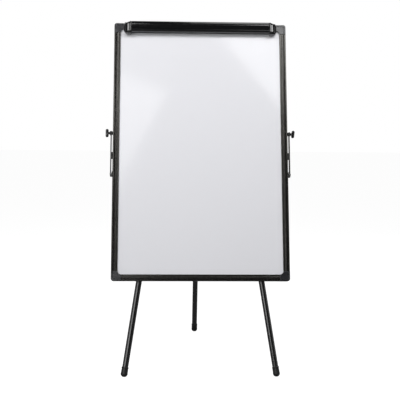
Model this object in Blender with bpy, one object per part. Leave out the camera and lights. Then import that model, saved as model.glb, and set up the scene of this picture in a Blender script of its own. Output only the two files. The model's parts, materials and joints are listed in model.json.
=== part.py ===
"""Flipchart easel: a framed whiteboard with a sprung pad clamp on a folding three-leg stand.

World frame, metres: +X right, +Y away from the reader, +Z up, feet on Z = 0.
Board pieces are modelled in the board's frame, which leans back about the lower edge:
X across, Y from the front crest of the frame towards the back, Z up the board.
Leg pieces are modelled in the leg's frame, which hangs from its pivot, leg along -Z.
"""

import math

import bmesh
import bpy
from mathutils import Matrix, Vector

# ---- driving dimensions -------------------------------------------------------------
GAP = 0.0003
BOARD_WIDTH = 0.600
BOARD_HEIGHT = 0.900
BOARD_LEAN = math.radians(14.2)
BOARD_BOTTOM_HEIGHT = 0.312

RAIL_FACE = 0.022
RAIL_DEPTH = 0.0175
RAIL_SLOT_FRONT = 0.0052
RAIL_SLOT_BACK = 0.0138
RAIL_SLOT_WALL = 0.0122
CHAMBER = ((0.0018, 0.0104), (0.0062, 0.0158))
CAP_LEG = 0.034
CAP_PROUD = 0.0006
CAP_ROUND = 0.007
CAP_TONGUE = 0.022
SHEET_THICKNESS = 0.0006

CLAMP_HALF = 0.2402
CLAMP_AXIS_Y = -0.0095
CLAMP_AXIS_Z = BOARD_HEIGHT - 0.0075
CLAMP_WALL = 0.0018
CLAMP_BOSS_RADIUS = 0.0042
CLAMP_BOSS_HALF = 0.214
CLAMP_PIN_RADIUS = 0.002
CLAMP_PIN_ENDS = (0.2000, 0.2580)
CHEEK_OUTER = 0.2663
CHEEK_TOP = BOARD_HEIGHT + 0.0018
CHEEK_BOTTOM = BOARD_HEIGHT - 0.0425
CHEEK_FRONT = -0.0280
BASE_RAIL_HALF = 0.264
BASE_RAIL_FRONT = -0.0033
BASE_RAIL_BACK = 0.0140
BASE_RAIL_BOTTOM = BOARD_HEIGHT - 0.0355
BASE_RAIL_TOP = BOARD_HEIGHT + 0.0023
HOOK_X = 0.140
HOOK_Z = BOARD_HEIGHT - 0.021
HOOK_GROOVE_HALF = 0.232
HOOK_GROOVE_HEIGHT = 0.0052
HOOK_GROOVE_DEPTH = 0.0012

LEG_PLANE_Y = 0.032
PIVOT_HEIGHT = 0.820
LEG_SPREAD = 0.084
LEG_SPLAY_SLOPE = 0.150
REAR_PIVOT_Y = 0.066
HEAD_WALL = 0.002
HEAD_HALF = 0.118
HEAD_BOTTOM = PIVOT_HEIGHT - 0.026
HEAD_TOP = PIVOT_HEIGHT + 0.025
EYE_HALF = 0.0157
EYE_RADIUS = 0.013
BOLT_RADIUS = 0.0039
BOLT_HEAD_RADIUS = 0.0075
BOLT_HEAD_HEIGHT = 0.005
NECK_LENGTH = 0.030
PLUG_LENGTH = 0.035

UPPER_RADIUS = 0.0125
LOWER_RADIUS = 0.0100
TUBE_WALL = 0.0012
UPPER_END = 0.770
COLLAR_START = 0.735
COLLAR_END = 0.785
COLLAR_RADIUS = 0.0165
LEVER_PIVOT = 0.0225
LEVER_LENGTH = 0.046
LEVER_HALF = 0.0049
LOWER_LENGTH = 0.920
FOOT_RADIUS = 0.0118
FOOT_FLAT_CUT = 0.0015
FOOT_LENGTH = 0.033

ARM_HINGE_Z = 0.3634
ARM_LOCK_Z = 0.507
ARM_THICKNESS = 0.0024
ARM_STANDOFF = 0.0045
ARM_FRONT = 0.0015
ARM_BACK = 0.0165
ARM_PIN_RADIUS = 0.0010
ARM_BRACKET_MARGIN = 0.001
ARM_BRACKET_BOTTOM = ARM_HINGE_Z - 0.0078
ARM_LUG_DEPTH = 0.0034
REST_BLOCK_Z = 0.4286
REST_BLOCK_HALF = 0.011
WING_HALF_LENGTH = 0.0145
WING_HALF_WIDTH = 0.0056
WING_EDGE = 0.0018
RIGHT_WING_TURN = math.radians(48)

# ---- derived ------------------------------------------------------------------------
HALF_W = BOARD_WIDTH / 2
SPLAY = math.atan(LEG_SPLAY_SLOPE)
ARM_MID_Y = (ARM_FRONT + ARM_BACK) / 2
COLLAR_MIDDLE = -(COLLAR_START + COLLAR_END) / 2
PAST = 0.01  # how far a cutting tool runs past the solid it cuts
SIDES = (("left", -1), ("right", 1))


# ---- scene and material helpers -------------------------------------------------------
def clear_scene():
    for obj in list(bpy.data.objects):
        bpy.data.objects.remove(obj, do_unlink=True)


def make_material(name, colour, roughness, metallic=0.0):
    mat = bpy.data.materials.new(name)
    mat.use_nodes = True
    shader = mat.node_tree.nodes["Principled BSDF"]
    shader.inputs["Base Color"].default_value = (*colour, 1)
    shader.inputs["Roughness"].default_value = roughness
    shader.inputs["Metallic"].default_value = metallic
    return mat


def add_frame(name, parent=None, location=(0, 0, 0), rotation=(0, 0, 0)):
    frame = bpy.data.objects.new(name, None)
    frame.empty_display_size = 0.03
    frame.parent = parent
    frame.location = location
    frame.rotation_euler = rotation
    bpy.context.collection.objects.link(frame)
    return frame


def add_piece(name, bm, mat, frame, origin=(0, 0, 0), smooth=True):
    """Turns bmesh geometry, given in the frame's coordinates, into one named object."""
    bmesh.ops.translate(bm, verts=bm.verts, vec=-Vector(origin))
    bmesh.ops.recalc_face_normals(bm, faces=bm.faces)
    mesh = bpy.data.meshes.new(name)
    bm.to_mesh(mesh)
    bm.free()
    mesh.materials.append(mat)
    obj = bpy.data.objects.new(name, mesh)
    obj.parent = frame
    obj.location = origin
    bpy.context.collection.objects.link(obj)
    if smooth:
        mesh.shade_smooth()
        mesh.set_sharp_from_angle(angle=math.radians(32))
    return obj


def apply_boolean(body, bm, operation):
    """Cuts or joins bmesh geometry, given in the body's own coordinates."""
    bmesh.ops.recalc_face_normals(bm, faces=bm.faces)
    mesh = bpy.data.meshes.new("tool")
    bm.to_mesh(mesh)
    bm.free()
    tool = bpy.data.objects.new("tool", mesh)
    tool.parent = body
    bpy.context.collection.objects.link(tool)
    modifier = body.modifiers.new(operation.lower(), "BOOLEAN")
    modifier.operation = operation
    modifier.solver = "EXACT"
    modifier.object = tool
    depsgraph = bpy.context.evaluated_depsgraph_get()
    result = bpy.data.meshes.new_from_object(body.evaluated_get(depsgraph))
    body.modifiers.clear()
    body.data = result
    bpy.data.objects.remove(tool)


# ---- shape helpers --------------------------------------------------------------------
def arc(centre, radius, start, end, steps):
    """Points of an arc between two angles in degrees, both ends included."""
    angles = [math.radians(start + (end - start) * k / steps) for k in range(steps + 1)]
    return [(centre[0] + radius * math.cos(a), centre[1] + radius * math.sin(a)) for a in angles]


def around(centre, half):
    """Range that reaches half below and half above a centre."""
    return (centre - half, centre + half)


def mirror_span(flip, low, high):
    """Range between two distances from the middle, on the left for -1 or the right for 1."""
    return sorted((flip * low, flip * high))


def circle(segments):
    """Cosine and sine of evenly spaced angles round a full turn."""
    turns = [2 * math.pi * k / segments for k in range(segments)]
    return [(math.cos(t), math.sin(t)) for t in turns]


def prism(outline, axis, low, high):
    """Extrudes a closed outline along X, Y or Z; outline points hold the other two axes."""
    order = {"X": (2, 0, 1), "Y": (0, 2, 1), "Z": (0, 1, 2)}[axis]
    bm = bmesh.new()
    rings = []
    for level in (low, high):
        ring = []
        for point in outline:
            values = (*point, level)
            ring.append(bm.verts.new([values[k] for k in order]))
        rings.append(ring)
    bm.faces.new(rings[0])
    bm.faces.new(reversed(rings[1]))
    count = len(outline)
    for k in range(count):
        after = (k + 1) % count
        bm.faces.new((rings[0][k], rings[1][k], rings[1][after], rings[0][after]))
    return bm


def block(x_range, y_range, z_range):
    outline = [
        (x_range[0], y_range[0]),
        (x_range[1], y_range[0]),
        (x_range[1], y_range[1]),
        (x_range[0], y_range[1]),
    ]
    return prism(outline, "Z", *z_range)


def lathe(profile, segments, axis="Z"):
    """Solid of revolution of (radius, height) points about an axis through the origin.

    A profile that starts and ends on the axis is closed there; any other is a ring section.
    """
    on_axis = profile[0][0] == 0 and profile[-1][0] == 0
    bm = bmesh.new()
    rings = []
    for radius, height in profile:
        if radius == 0:
            rings.append([bm.verts.new((0, 0, height))] * segments)
            continue
        rings.append([bm.verts.new((radius * c, radius * s, height)) for c, s in circle(segments)])
    pairs = list(zip(rings, rings[1:]))
    if not on_axis:
        pairs.append((rings[-1], rings[0]))
    for lower, upper in pairs:
        for k in range(segments):
            after = (k + 1) % segments
            corners = [lower[k], lower[after], upper[after], upper[k]]
            bm.faces.new(list(dict.fromkeys(corners)))
    turn = {"X": Matrix.Rotation(math.pi / 2, 4, "Y"), "Y": Matrix.Rotation(-math.pi / 2, 4, "X")}
    if axis in turn:
        bmesh.ops.transform(bm, matrix=turn[axis], verts=bm.verts)
    return bm


def rod(radius, low, high, segments, axis="Z"):
    return lathe([(0, low), (radius, low), (radius, high), (0, high)], segments, axis)


def moved(bm, offset):
    bmesh.ops.translate(bm, verts=bm.verts, vec=offset)
    return bm


def mirrored(bm, axis):
    """Mirrors geometry through the plane across X or Z at the origin."""
    scale = (-1, 1, 1) if axis == "X" else (1, 1, -1)
    bmesh.ops.scale(bm, vec=scale, verts=bm.verts)
    bmesh.ops.reverse_faces(bm, faces=bm.faces)
    return bm


def ribbon(path, thickness):
    """Closed outline of a strip that follows a path, with its thickness on the right-hand side."""
    points = [Vector(p) for p in path]
    normals = []
    for a, b in zip(points, points[1:]):
        step = (b - a).normalized()
        normals.append(Vector((step.y, -step.x)))
    inner = []
    for k, point in enumerate(points):
        before = normals[max(k - 1, 0)]
        after = normals[min(k, len(normals) - 1)]
        middle = (before + after).normalized()
        inner.append(point + middle * (thickness / middle.dot(after)))
    return [tuple(p) for p in points] + [tuple(p) for p in reversed(inner)]


def swept_wire(path, radius, sides):
    """Round wire through a list of points, with flat ends."""
    points = [Vector(p) for p in path]
    bm = bmesh.new()
    rings = []
    normal = None
    for k, point in enumerate(points):
        ahead = points[min(k + 1, len(points) - 1)]
        behind = points[max(k - 1, 0)]
        tangent = (ahead - behind).normalized()
        if normal is None:
            normal = tangent.orthogonal().normalized()
        normal = (normal - tangent * normal.dot(tangent)).normalized()
        side = tangent.cross(normal)
        spokes = [normal * c + side * s for c, s in circle(sides)]
        rings.append([bm.verts.new(point + spoke * radius) for spoke in spokes])
    for lower, upper in zip(rings, rings[1:]):
        for j in range(sides):
            after = (j + 1) % sides
            bm.faces.new((lower[j], lower[after], upper[after], upper[j]))
    bm.faces.new(rings[0])
    bm.faces.new(rings[-1])
    return bm


def bevel_where(bm, test, width, segments):
    """Bevels the edges whose two ends both pass the test."""
    edges = [e for e in bm.edges if all(test(v.co) for v in e.verts)]
    bmesh.ops.bevel(bm, geom=edges, offset=width, segments=segments, profile=0.5, affect="EDGES")
    return bm


# ---- board ----------------------------------------------------------------------------
def build_panel(board, mats):
    half = HALF_W - RAIL_SLOT_WALL - GAP
    low = RAIL_SLOT_WALL + GAP
    high = BOARD_HEIGHT - low
    front = RAIL_SLOT_FRONT + GAP
    sheet_back = front + SHEET_THICKNESS
    sheet = block((-half, half), (front, sheet_back), (low, high))
    add_piece("whiteboard_sheet", sheet, mats["enamel"], board, smooth=False)
    core = block((-half, half), (sheet_back + GAP, RAIL_SLOT_BACK - GAP), (low, high))
    add_piece("board_core", core, mats["core"], board, smooth=False)


def rail_profile():
    """Frame section: distance from the outer edge, depth behind the front crest."""
    bead = arc((0.0034, 0.0036), 0.0034, 180, 325, 8)
    crest = arc((0.0100, 0.0024), 0.0024, 205, 270, 3)
    return [
        (0, RAIL_DEPTH),
        *bead,
        (0.0064, 0.0030),
        (0.0074, 0.0030),
        *crest,
        (0.0200, 0.0024),
        (0.0215, 0.0031),
        (RAIL_FACE, 0.0041),
        (RAIL_FACE, RAIL_SLOT_FRONT),
        (RAIL_SLOT_WALL, RAIL_SLOT_FRONT),
        (RAIL_SLOT_WALL, RAIL_SLOT_BACK),
        (0.0180, RAIL_SLOT_BACK),
        (0.0180, RAIL_DEPTH),
    ]


def build_rails(board, mats):
    """Four hollow extrusions between the corner caps."""
    profile = rail_profile()
    (a_low, a_high), (d_low, d_high) = CHAMBER
    reach = CAP_LEG + GAP
    across = HALF_W - reach
    for name, flip in (("bottom", 1), ("top", -1)):
        base = 0 if flip > 0 else BOARD_HEIGHT
        outline = [(d, base + flip * a) for a, d in profile]
        bar = prism(outline, "X", -across, across)
        rail = add_piece(f"frame_rail_{name}", bar, mats["frame"], board)
        span = sorted((base + flip * a_low, base + flip * a_high))
        apply_boolean(rail, block(around(0, across + PAST), (d_low, d_high), span), "DIFFERENCE")
    for name, flip in SIDES:
        outline = [(flip * (HALF_W - a), d) for a, d in profile]
        bar = prism(outline, "Z", reach, BOARD_HEIGHT - reach)
        rail = add_piece(f"frame_rail_{name}", bar, mats["frame"], board)
        span = sorted((flip * (HALF_W - a_low), flip * (HALF_W - a_high)))
        chamber = block(span, (d_low, d_high), (reach - PAST, BOARD_HEIGHT - reach + PAST))
        apply_boolean(rail, chamber, "DIFFERENCE")


def corner_outline():
    outer = arc((CAP_ROUND, CAP_ROUND), CAP_ROUND, 270, 180, 6)
    inner = arc((CAP_LEG, CAP_LEG), CAP_LEG - RAIL_FACE, 180, 270, 6)
    return [*outer, (0, CAP_LEG), *inner, (CAP_LEG, 0)]


def build_corner_caps(board, mats):
    """Moulded caps whose tongues plug into the rails and whose pocket holds the panel."""
    front = -CAP_PROUD
    back = RAIL_DEPTH + CAP_PROUD
    (a_low, a_high), (d_low, d_high) = CHAMBER
    across = (a_low + GAP, a_high - GAP)
    deep = (d_low + GAP, d_high - GAP)
    along = (CAP_LEG - 0.002, CAP_LEG + CAP_TONGUE)
    pocket = (RAIL_SLOT_WALL, CAP_LEG + 0.02)
    for level, z_flip in (("bottom", 1), ("top", -1)):
        for side, x_flip in SIDES:
            def placed(bm):
                if x_flip > 0:
                    mirrored(bm, "X")
                if z_flip < 0:
                    mirrored(bm, "Z")
                return moved(bm, (x_flip * HALF_W, 0, 0 if z_flip > 0 else BOARD_HEIGHT))

            shell = prism(corner_outline(), "Y", front, back)
            bevel_where(shell, lambda co: abs(co.y - front) < 1e-6, 0.0012, 2)
            cap = add_piece(f"corner_cap_{level}_{side}", placed(shell), mats["cap"], board)
            slot = block(pocket, (RAIL_SLOT_FRONT, RAIL_SLOT_BACK), pocket)
            apply_boolean(cap, placed(slot), "DIFFERENCE")
            apply_boolean(cap, placed(block(along, deep, across)), "UNION")
            apply_boolean(cap, placed(block(across, deep, along)), "UNION")


# ---- pad clamp -------------------------------------------------------------------------
def clamp_path():
    """Outer line of the clamp bar: distance in front of its hinge axis, height above it."""
    shoulder = arc((0.0085, 0.0008), 0.0080, 90, 0, 7)
    belly = arc((0.0092, -0.0217), 0.0076, -6, -90, 6)
    return [
        (0, 0.0088),
        *shoulder,
        (0.0156, -0.0002),
        (0.0156, -0.0012),
        (0.0165, -0.0022),
        (0.0168, -0.0150),
        (0.0160, -0.0160),
        (0.0168, -0.0175),
        *belly,
        (0.0020, -0.0293),
        (0, -0.0280),
        (0, -0.0205),
    ]


def build_clamp_bar(board, mats):
    hinge = Vector((0, CLAMP_AXIS_Y, CLAMP_AXIS_Z))
    outline = [(-u, w) for u, w in ribbon(clamp_path(), CLAMP_WALL)]
    shell = moved(prism(outline, "X", -CLAMP_HALF, CLAMP_HALF), hinge)
    bar = add_piece("clamp_bar", shell, mats["gloss"], board, origin=hinge)
    web = block((-CLAMP_BOSS_HALF, CLAMP_BOSS_HALF), (-CLAMP_WALL, -0.0001), (0.003, 0.008))
    apply_boolean(bar, web, "UNION")
    boss = rod(CLAMP_BOSS_RADIUS, -CLAMP_BOSS_HALF, CLAMP_BOSS_HALF, 20, "X")
    apply_boolean(bar, boss, "UNION")
    bore_end = CLAMP_PIN_ENDS[0] - 0.001
    for _, flip in SIDES:
        low, high = mirror_span(flip, bore_end, CLAMP_BOSS_HALF + PAST)
        apply_boolean(bar, rod(CLAMP_PIN_RADIUS + GAP, low, high, 16, "X"), "DIFFERENCE")

    strip_half = CLAMP_HALF - 0.004
    strip_back = BASE_RAIL_FRONT - GAP
    outline = [
        (CLAMP_AXIS_Y + GAP, CLAMP_AXIS_Z - 0.0272),
        (strip_back - 0.0008, CLAMP_AXIS_Z - 0.0272),
        (strip_back, CLAMP_AXIS_Z - 0.0262),
        (strip_back, CLAMP_AXIS_Z - 0.0240),
        (strip_back - 0.0010, CLAMP_AXIS_Z - 0.0234),
        (strip_back, CLAMP_AXIS_Z - 0.0228),
        (strip_back - 0.0008, CLAMP_AXIS_Z - 0.0210),
        (CLAMP_AXIS_Y + GAP, CLAMP_AXIS_Z - 0.0210),
    ]
    strip = prism(outline, "X", -strip_half, strip_half)
    add_piece("clamp_grip_strip", strip, mats["rubber"], board, origin=hinge, smooth=False)


def build_base_rail(board, mats):
    """Bent strip on the frame's top edge: the fixed jaw of the clamp, with a groove for the hooks."""
    seat = -CAP_PROUD
    foot = BOARD_HEIGHT + GAP
    outline = [
        (BASE_RAIL_FRONT, BASE_RAIL_BOTTOM),
        (BASE_RAIL_FRONT, BASE_RAIL_TOP),
        (BASE_RAIL_BACK, BASE_RAIL_TOP),
        (BASE_RAIL_BACK, foot),
        (seat, foot),
        (seat, BASE_RAIL_BOTTOM),
    ]
    rail = prism(outline, "X", -BASE_RAIL_HALF, BASE_RAIL_HALF)
    rail = add_piece("clamp_base_rail", rail, mats["painted"], board, smooth=False)
    depth = (BASE_RAIL_FRONT - PAST, BASE_RAIL_FRONT + HOOK_GROOVE_DEPTH)
    groove = block(around(0, HOOK_GROOVE_HALF), depth, around(HOOK_Z, HOOK_GROOVE_HEIGHT / 2))
    apply_boolean(rail, groove, "DIFFERENCE")


def build_hooks(board, mats):
    """Two pegs for the holes of a pad; each slides in the base rail's groove."""
    front = BASE_RAIL_FRONT - GAP
    tongue_height = HOOK_GROOVE_HEIGHT / 2 - GAP - 0.0001
    for side, flip in SIDES:
        x = flip * HOOK_X
        plate = block(around(x, 0.011), (front - 0.0016, front), around(HOOK_Z, 0.0042))
        hook = add_piece(f"pad_hook_{side}", plate, mats["gloss"], board)
        depth = (front - 0.001, front + HOOK_GROOVE_DEPTH)
        tongue = block(around(x, 0.009), depth, around(HOOK_Z, tongue_height))
        apply_boolean(hook, tongue, "UNION")
        peg = lathe([(0, 0), (0.0034, 0), (0.0034, -0.0105), (0.0026, -0.0122), (0, -0.0126)], 16, "Y")
        apply_boolean(hook, moved(peg, (x, front - 0.001, HOOK_Z)), "UNION")


def build_cheeks(board, mats):
    """End cheeks that carry the bar's pins; their outline bulges outwards."""
    inner = CLAMP_HALF + GAP
    outline = [
        (inner, CHEEK_TOP),
        (0.2490, CHEEK_TOP),
        (0.2540, CHEEK_TOP - 0.0035),
        (0.2600, CLAMP_AXIS_Z - 0.0035),
        (0.2645, CLAMP_AXIS_Z - 0.0105),
        (CHEEK_OUTER, CLAMP_AXIS_Z - 0.0165),
        (0.2650, CLAMP_AXIS_Z - 0.0235),
        (0.2600, CHEEK_BOTTOM + 0.0050),
        (0.2535, CHEEK_BOTTOM + 0.0005),
        (0.2500, CHEEK_BOTTOM),
        (inner, CHEEK_BOTTOM + 0.0010),
    ]
    back = BASE_RAIL_FRONT - GAP
    bore_end = CLAMP_PIN_ENDS[1] + GAP
    for side, flip in SIDES:
        shell = prism([(flip * x, z) for x, z in outline], "Y", CHEEK_FRONT, back)
        bevel_where(shell, lambda co: abs(co.y - CHEEK_FRONT) < 1e-6, 0.0040, 3)
        cheek = add_piece(f"clamp_cheek_{side}", shell, mats["gloss"], board)
        low_x, high_x = mirror_span(flip, inner - PAST, bore_end)
        hole = rod(CLAMP_PIN_RADIUS + GAP, low_x, high_x, 16, "X")
        apply_boolean(cheek, moved(hole, (0, CLAMP_AXIS_Y, CLAMP_AXIS_Z)), "DIFFERENCE")


def build_clamp_pins(board, mats):
    for side, flip in SIDES:
        low, high = mirror_span(flip, *CLAMP_PIN_ENDS)
        pin = moved(rod(CLAMP_PIN_RADIUS, low, high, 16, "X"), (0, CLAMP_AXIS_Y, CLAMP_AXIS_Z))
        add_piece(f"clamp_pivot_pin_{side}", pin, mats["steel"], board)


def build_clamp_springs(board, mats):
    """Torsion springs around the pins: one leg on the base rail, one against the bar."""
    wire = 0.0005
    coil = 0.0036
    turns = 4
    per_turn = 12
    pitch = 0.0022
    for side, flip in SIDES:
        start = flip * 0.2190
        path = [(start, 0.0052, -0.0120), (start, coil + 0.0004, -0.0060)]
        for k in range(turns * per_turn + 1):
            angle = 2 * math.pi * k / per_turn
            x = start + flip * pitch * (k / per_turn + 0.3)
            path.append((x, coil * math.cos(angle), coil * math.sin(angle)))
        end = path[-1][0] + flip * pitch * 0.5
        path += [(end, coil - 0.001, 0.0040), (end, 0.0005, 0.0052), (end, -0.0110, 0.0046)]
        spring = moved(swept_wire(path, wire, 6), (0, CLAMP_AXIS_Y, CLAMP_AXIS_Z))
        add_piece(f"clamp_spring_{side}", spring, mats["steel"], board)


# ---- head and legs ----------------------------------------------------------------------
def build_head(board, mats):
    """Channel behind the board that carries the leg pivots, and the rear leg's bracket."""
    front = LEG_PLANE_Y - EYE_HALF - GAP - HEAD_WALL
    back = LEG_PLANE_Y + EYE_HALF + GAP + HEAD_WALL
    path = [(front, HEAD_BOTTOM), (front, HEAD_TOP), (back, HEAD_TOP), (back, HEAD_BOTTOM)]
    channel = prism(ribbon(path, HEAD_WALL), "X", -HEAD_HALF, HEAD_HALF)
    channel = add_piece("head_channel", channel, mats["painted"], board, smooth=False)
    for _, flip in SIDES:
        hole = rod(BOLT_RADIUS + GAP, front - PAST, back + PAST, 20, "Y")
        apply_boolean(channel, moved(hole, (flip * LEG_SPREAD, 0, PIVOT_HEIGHT)), "DIFFERENCE")

    ear = EYE_HALF + GAP + HEAD_WALL
    base = back + GAP
    tip = REAR_PIVOT_Y + 0.013
    path = [(-ear, tip), (-ear, base), (ear, base), (ear, tip)]
    outline = ribbon(list(reversed(path)), HEAD_WALL)
    bracket = prism(outline, "Z", PIVOT_HEIGHT - 0.016, PIVOT_HEIGHT + 0.022)
    bracket = add_piece("rear_hinge_bracket", bracket, mats["painted"], board, smooth=False)
    hole = rod(BOLT_RADIUS + GAP, -ear - PAST, ear + PAST, 20, "X")
    apply_boolean(bracket, moved(hole, (0, REAR_PIVOT_Y, PIVOT_HEIGHT)), "DIFFERENCE")


def pivot_bolt(low, high, axis):
    """Shank between two levels, and the hexagon head that stands on its high end."""
    shank = rod(BOLT_RADIUS, low, high, 20, axis)
    head = rod(BOLT_HEAD_RADIUS, high - 0.0002, high + BOLT_HEAD_HEIGHT, 6, axis)
    return shank, head


def build_pivot_bolts(board, mats):
    front = LEG_PLANE_Y - EYE_HALF - GAP - HEAD_WALL
    back = LEG_PLANE_Y + EYE_HALF + GAP + HEAD_WALL + GAP
    for side, flip in SIDES:
        place = (flip * LEG_SPREAD, 0, PIVOT_HEIGHT)
        shank, head = pivot_bolt(front + GAP, back, "Y")
        bolt = add_piece(f"front_pivot_bolt_{side}", moved(shank, place), mats["steel"], board)
        apply_boolean(bolt, moved(head, place), "UNION")
    ear = EYE_HALF + GAP + HEAD_WALL + GAP
    place = (0, REAR_PIVOT_Y, PIVOT_HEIGHT)
    shank, head = pivot_bolt(-ear - 0.001, ear, "X")
    bolt = add_piece("rear_pivot_bolt", moved(shank, place), mats["steel"], board)
    apply_boolean(bolt, moved(head, place), "UNION")
    nut = rod(BOLT_HEAD_RADIUS, -ear - BOLT_HEAD_HEIGHT, -ear, 6, "X")
    apply_boolean(bolt, moved(nut, place), "UNION")


def build_knuckle(name, leg, mats, pin_axis):
    """Moulded eye on the pivot bolt with a plug that fills the top of the upper tube."""
    crown = arc((0, 0), EYE_RADIUS, 180, 0, 12)
    outline = [(-EYE_RADIUS, -NECK_LENGTH), *crown, (EYE_RADIUS, -NECK_LENGTH)]
    eye = prism(outline, pin_axis, -EYE_HALF, EYE_HALF)
    knuckle = add_piece(name, eye, mats["plastic"], leg)
    plug_radius = UPPER_RADIUS - TUBE_WALL - GAP
    plug = rod(plug_radius, -NECK_LENGTH - PLUG_LENGTH, -NECK_LENGTH + 0.002, 24)
    apply_boolean(knuckle, plug, "UNION")
    hole = rod(BOLT_RADIUS + GAP, -EYE_HALF - PAST, EYE_HALF + PAST, 20, pin_axis)
    apply_boolean(knuckle, hole, "DIFFERENCE")


def tube(radius, start, end):
    """Open tube down the leg between two distances from the pivot."""
    inner = radius - TUBE_WALL
    return lathe([(inner, -start), (radius, -start), (radius, -end), (inner, -end)], 24)


def build_collar(name, leg, mats):
    """Clamp sleeve over the end of the upper tube, with two ears for its lever."""
    over = UPPER_RADIUS + GAP
    under = LOWER_RADIUS + GAP
    step = UPPER_END + GAP
    profile = [
        (over, -COLLAR_START),
        (COLLAR_RADIUS - 0.0015, -COLLAR_START),
        (COLLAR_RADIUS, -COLLAR_START - 0.0015),
        (COLLAR_RADIUS, -COLLAR_END + 0.0060),
        (COLLAR_RADIUS - 0.0030, -COLLAR_END),
        (under, -COLLAR_END),
        (under, -step),
        (over, -step),
    ]
    collar = add_piece(name, lathe(profile, 28), mats["plastic"], leg)
    depth = (COLLAR_RADIUS - 0.0022, LEVER_PIVOT + 0.0045)
    for flip in (-1, 1):
        ear_x = mirror_span(flip, 0.0052, 0.0084)
        apply_boolean(collar, block(ear_x, depth, around(COLLAR_MIDDLE, 0.0070)), "UNION")
    hole = moved(rod(0.0023, -PAST, PAST, 14, "X"), (0, LEVER_PIVOT, COLLAR_MIDDLE))
    apply_boolean(collar, hole, "DIFFERENCE")


def build_lever(name, leg, mats):
    """Cam lever that squeezes the collar; it lies up along the tube when shut."""
    cam = arc((0, 0), 0.0050, -200, -20, 8)
    back = [(0.0050, LEVER_LENGTH * 0.55), (0.0032, LEVER_LENGTH)]
    front = [(0.0008, LEVER_LENGTH), (-0.0008, 0.012)]
    pivot = (0, LEVER_PIVOT, COLLAR_MIDDLE)
    lever = moved(prism([*cam, *back, *front], "X", -LEVER_HALF, LEVER_HALF), pivot)
    lever = add_piece(name, lever, mats["gloss"], leg, origin=pivot)
    apply_boolean(lever, rod(0.0020, -0.0084, 0.0084, 14, "X"), "UNION")


def leg_length(leg_to_world):
    """Distance down the leg's axis from its pivot to the floor."""
    pivot = leg_to_world.translation
    down = (leg_to_world.to_3x3() @ Vector((0, 0, -1))).normalized()
    return -pivot.z / down.z, down


def build_foot(name, leg, mats, length, leg_to_world, down):
    """Domed rubber foot with a flat tread that lies on the floor at rest."""
    centre = length - (FOOT_RADIUS - FOOT_FLAT_CUT) / -down.z
    bore = LOWER_RADIUS + GAP
    mouth = centre - (FOOT_LENGTH - FOOT_RADIUS)
    dome = [(r, -centre + z) for r, z in arc((0, 0), FOOT_RADIUS, 0, -90, 9)]
    dome[-1] = (0, dome[-1][1])
    profile = [
        (0, -(centre - 0.0010)),
        (bore, -(centre - 0.0010)),
        (bore, -mouth),
        (FOOT_RADIUS - 0.0006, -mouth),
        (FOOT_RADIUS, -mouth - 0.0006),
        (FOOT_RADIUS, -mouth - 0.0034),
        (FOOT_RADIUS - 0.0008, -mouth - 0.0044),
        (FOOT_RADIUS - 0.0008, -mouth - 0.0060),
        *dome,
    ]
    foot = lathe(profile, 28)
    to_leg = leg_to_world.inverted()
    floor_point = to_leg @ Vector((leg_to_world.translation.x, leg_to_world.translation.y, 0))
    floor_up = (to_leg.to_3x3() @ Vector((0, 0, 1))).normalized()
    cut = bmesh.ops.bisect_plane(
        foot,
        geom=foot.verts[:] + foot.edges[:] + foot.faces[:],
        plane_co=floor_point,
        plane_no=-floor_up,
        clear_outer=True,
    )
    rim = [e for e in cut["geom_cut"] if isinstance(e, bmesh.types.BMEdge)]
    bmesh.ops.contextual_create(foot, geom=rim)
    add_piece(name, foot, mats["rubber"], leg)
    return centre


def build_leg(name, leg, mats, leg_to_world, pin_axis):
    length, down = leg_length(leg_to_world)
    build_knuckle(f"{name}_knuckle", leg, mats, pin_axis)
    add_piece(f"{name}_upper_tube", tube(UPPER_RADIUS, NECK_LENGTH + GAP, UPPER_END), mats["tube"], leg)
    build_collar(f"{name}_collar", leg, mats)
    build_lever(f"{name}_lever", leg, mats)
    centre = build_foot(f"{name}_foot", leg, mats, length, leg_to_world, down)
    end = centre - 0.0010 - GAP
    add_piece(f"{name}_lower_tube", tube(LOWER_RADIUS, end - LOWER_LENGTH, end), mats["tube"], leg)


def build_legs(board, board_to_world, mats):
    for side, flip in SIDES:
        place = Vector((flip * LEG_SPREAD, LEG_PLANE_Y, PIVOT_HEIGHT))
        turn = (0, -flip * SPLAY, 0)
        leg = add_frame(f"front_leg_{side}_frame", board, place, turn)
        to_world = board_to_world @ Matrix.Translation(place) @ Matrix.Rotation(turn[1], 4, "Y")
        build_leg(f"front_leg_{side}", leg, mats, to_world, "Y")
    # The three legs are equally long, which sets how far back the rear one reaches.
    front_length, _ = leg_length(to_world)
    place = Vector((0, REAR_PIVOT_Y, PIVOT_HEIGHT))
    rear_tilt = math.acos((board_to_world @ place).z / front_length) + BOARD_LEAN
    leg = add_frame("rear_leg_frame", board, place, (rear_tilt, 0, 0))
    to_world = board_to_world @ Matrix.Translation(place) @ Matrix.Rotation(rear_tilt, 4, "X")
    build_leg("rear_leg", leg, mats, to_world, "X")


def build_leg_rests(board, mats):
    """Rubber bumpers between the lower frame rail and the spread front legs."""
    back = LEG_PLANE_Y - LOWER_RADIUS - GAP
    for side, flip in SIDES:
        z = RAIL_FACE / 2
        x = flip * (LEG_SPREAD + LEG_SPLAY_SLOPE * (PIVOT_HEIGHT - z))
        pad = block((x - 0.012, x + 0.012), (RAIL_DEPTH + GAP, back), (z - 0.007, z + 0.007))
        bevel_where(pad, lambda co: abs(co.y - back) < 1e-6, 0.0012, 2)
        add_piece(f"leg_rest_{side}", pad, mats["rubber"], board)


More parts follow.
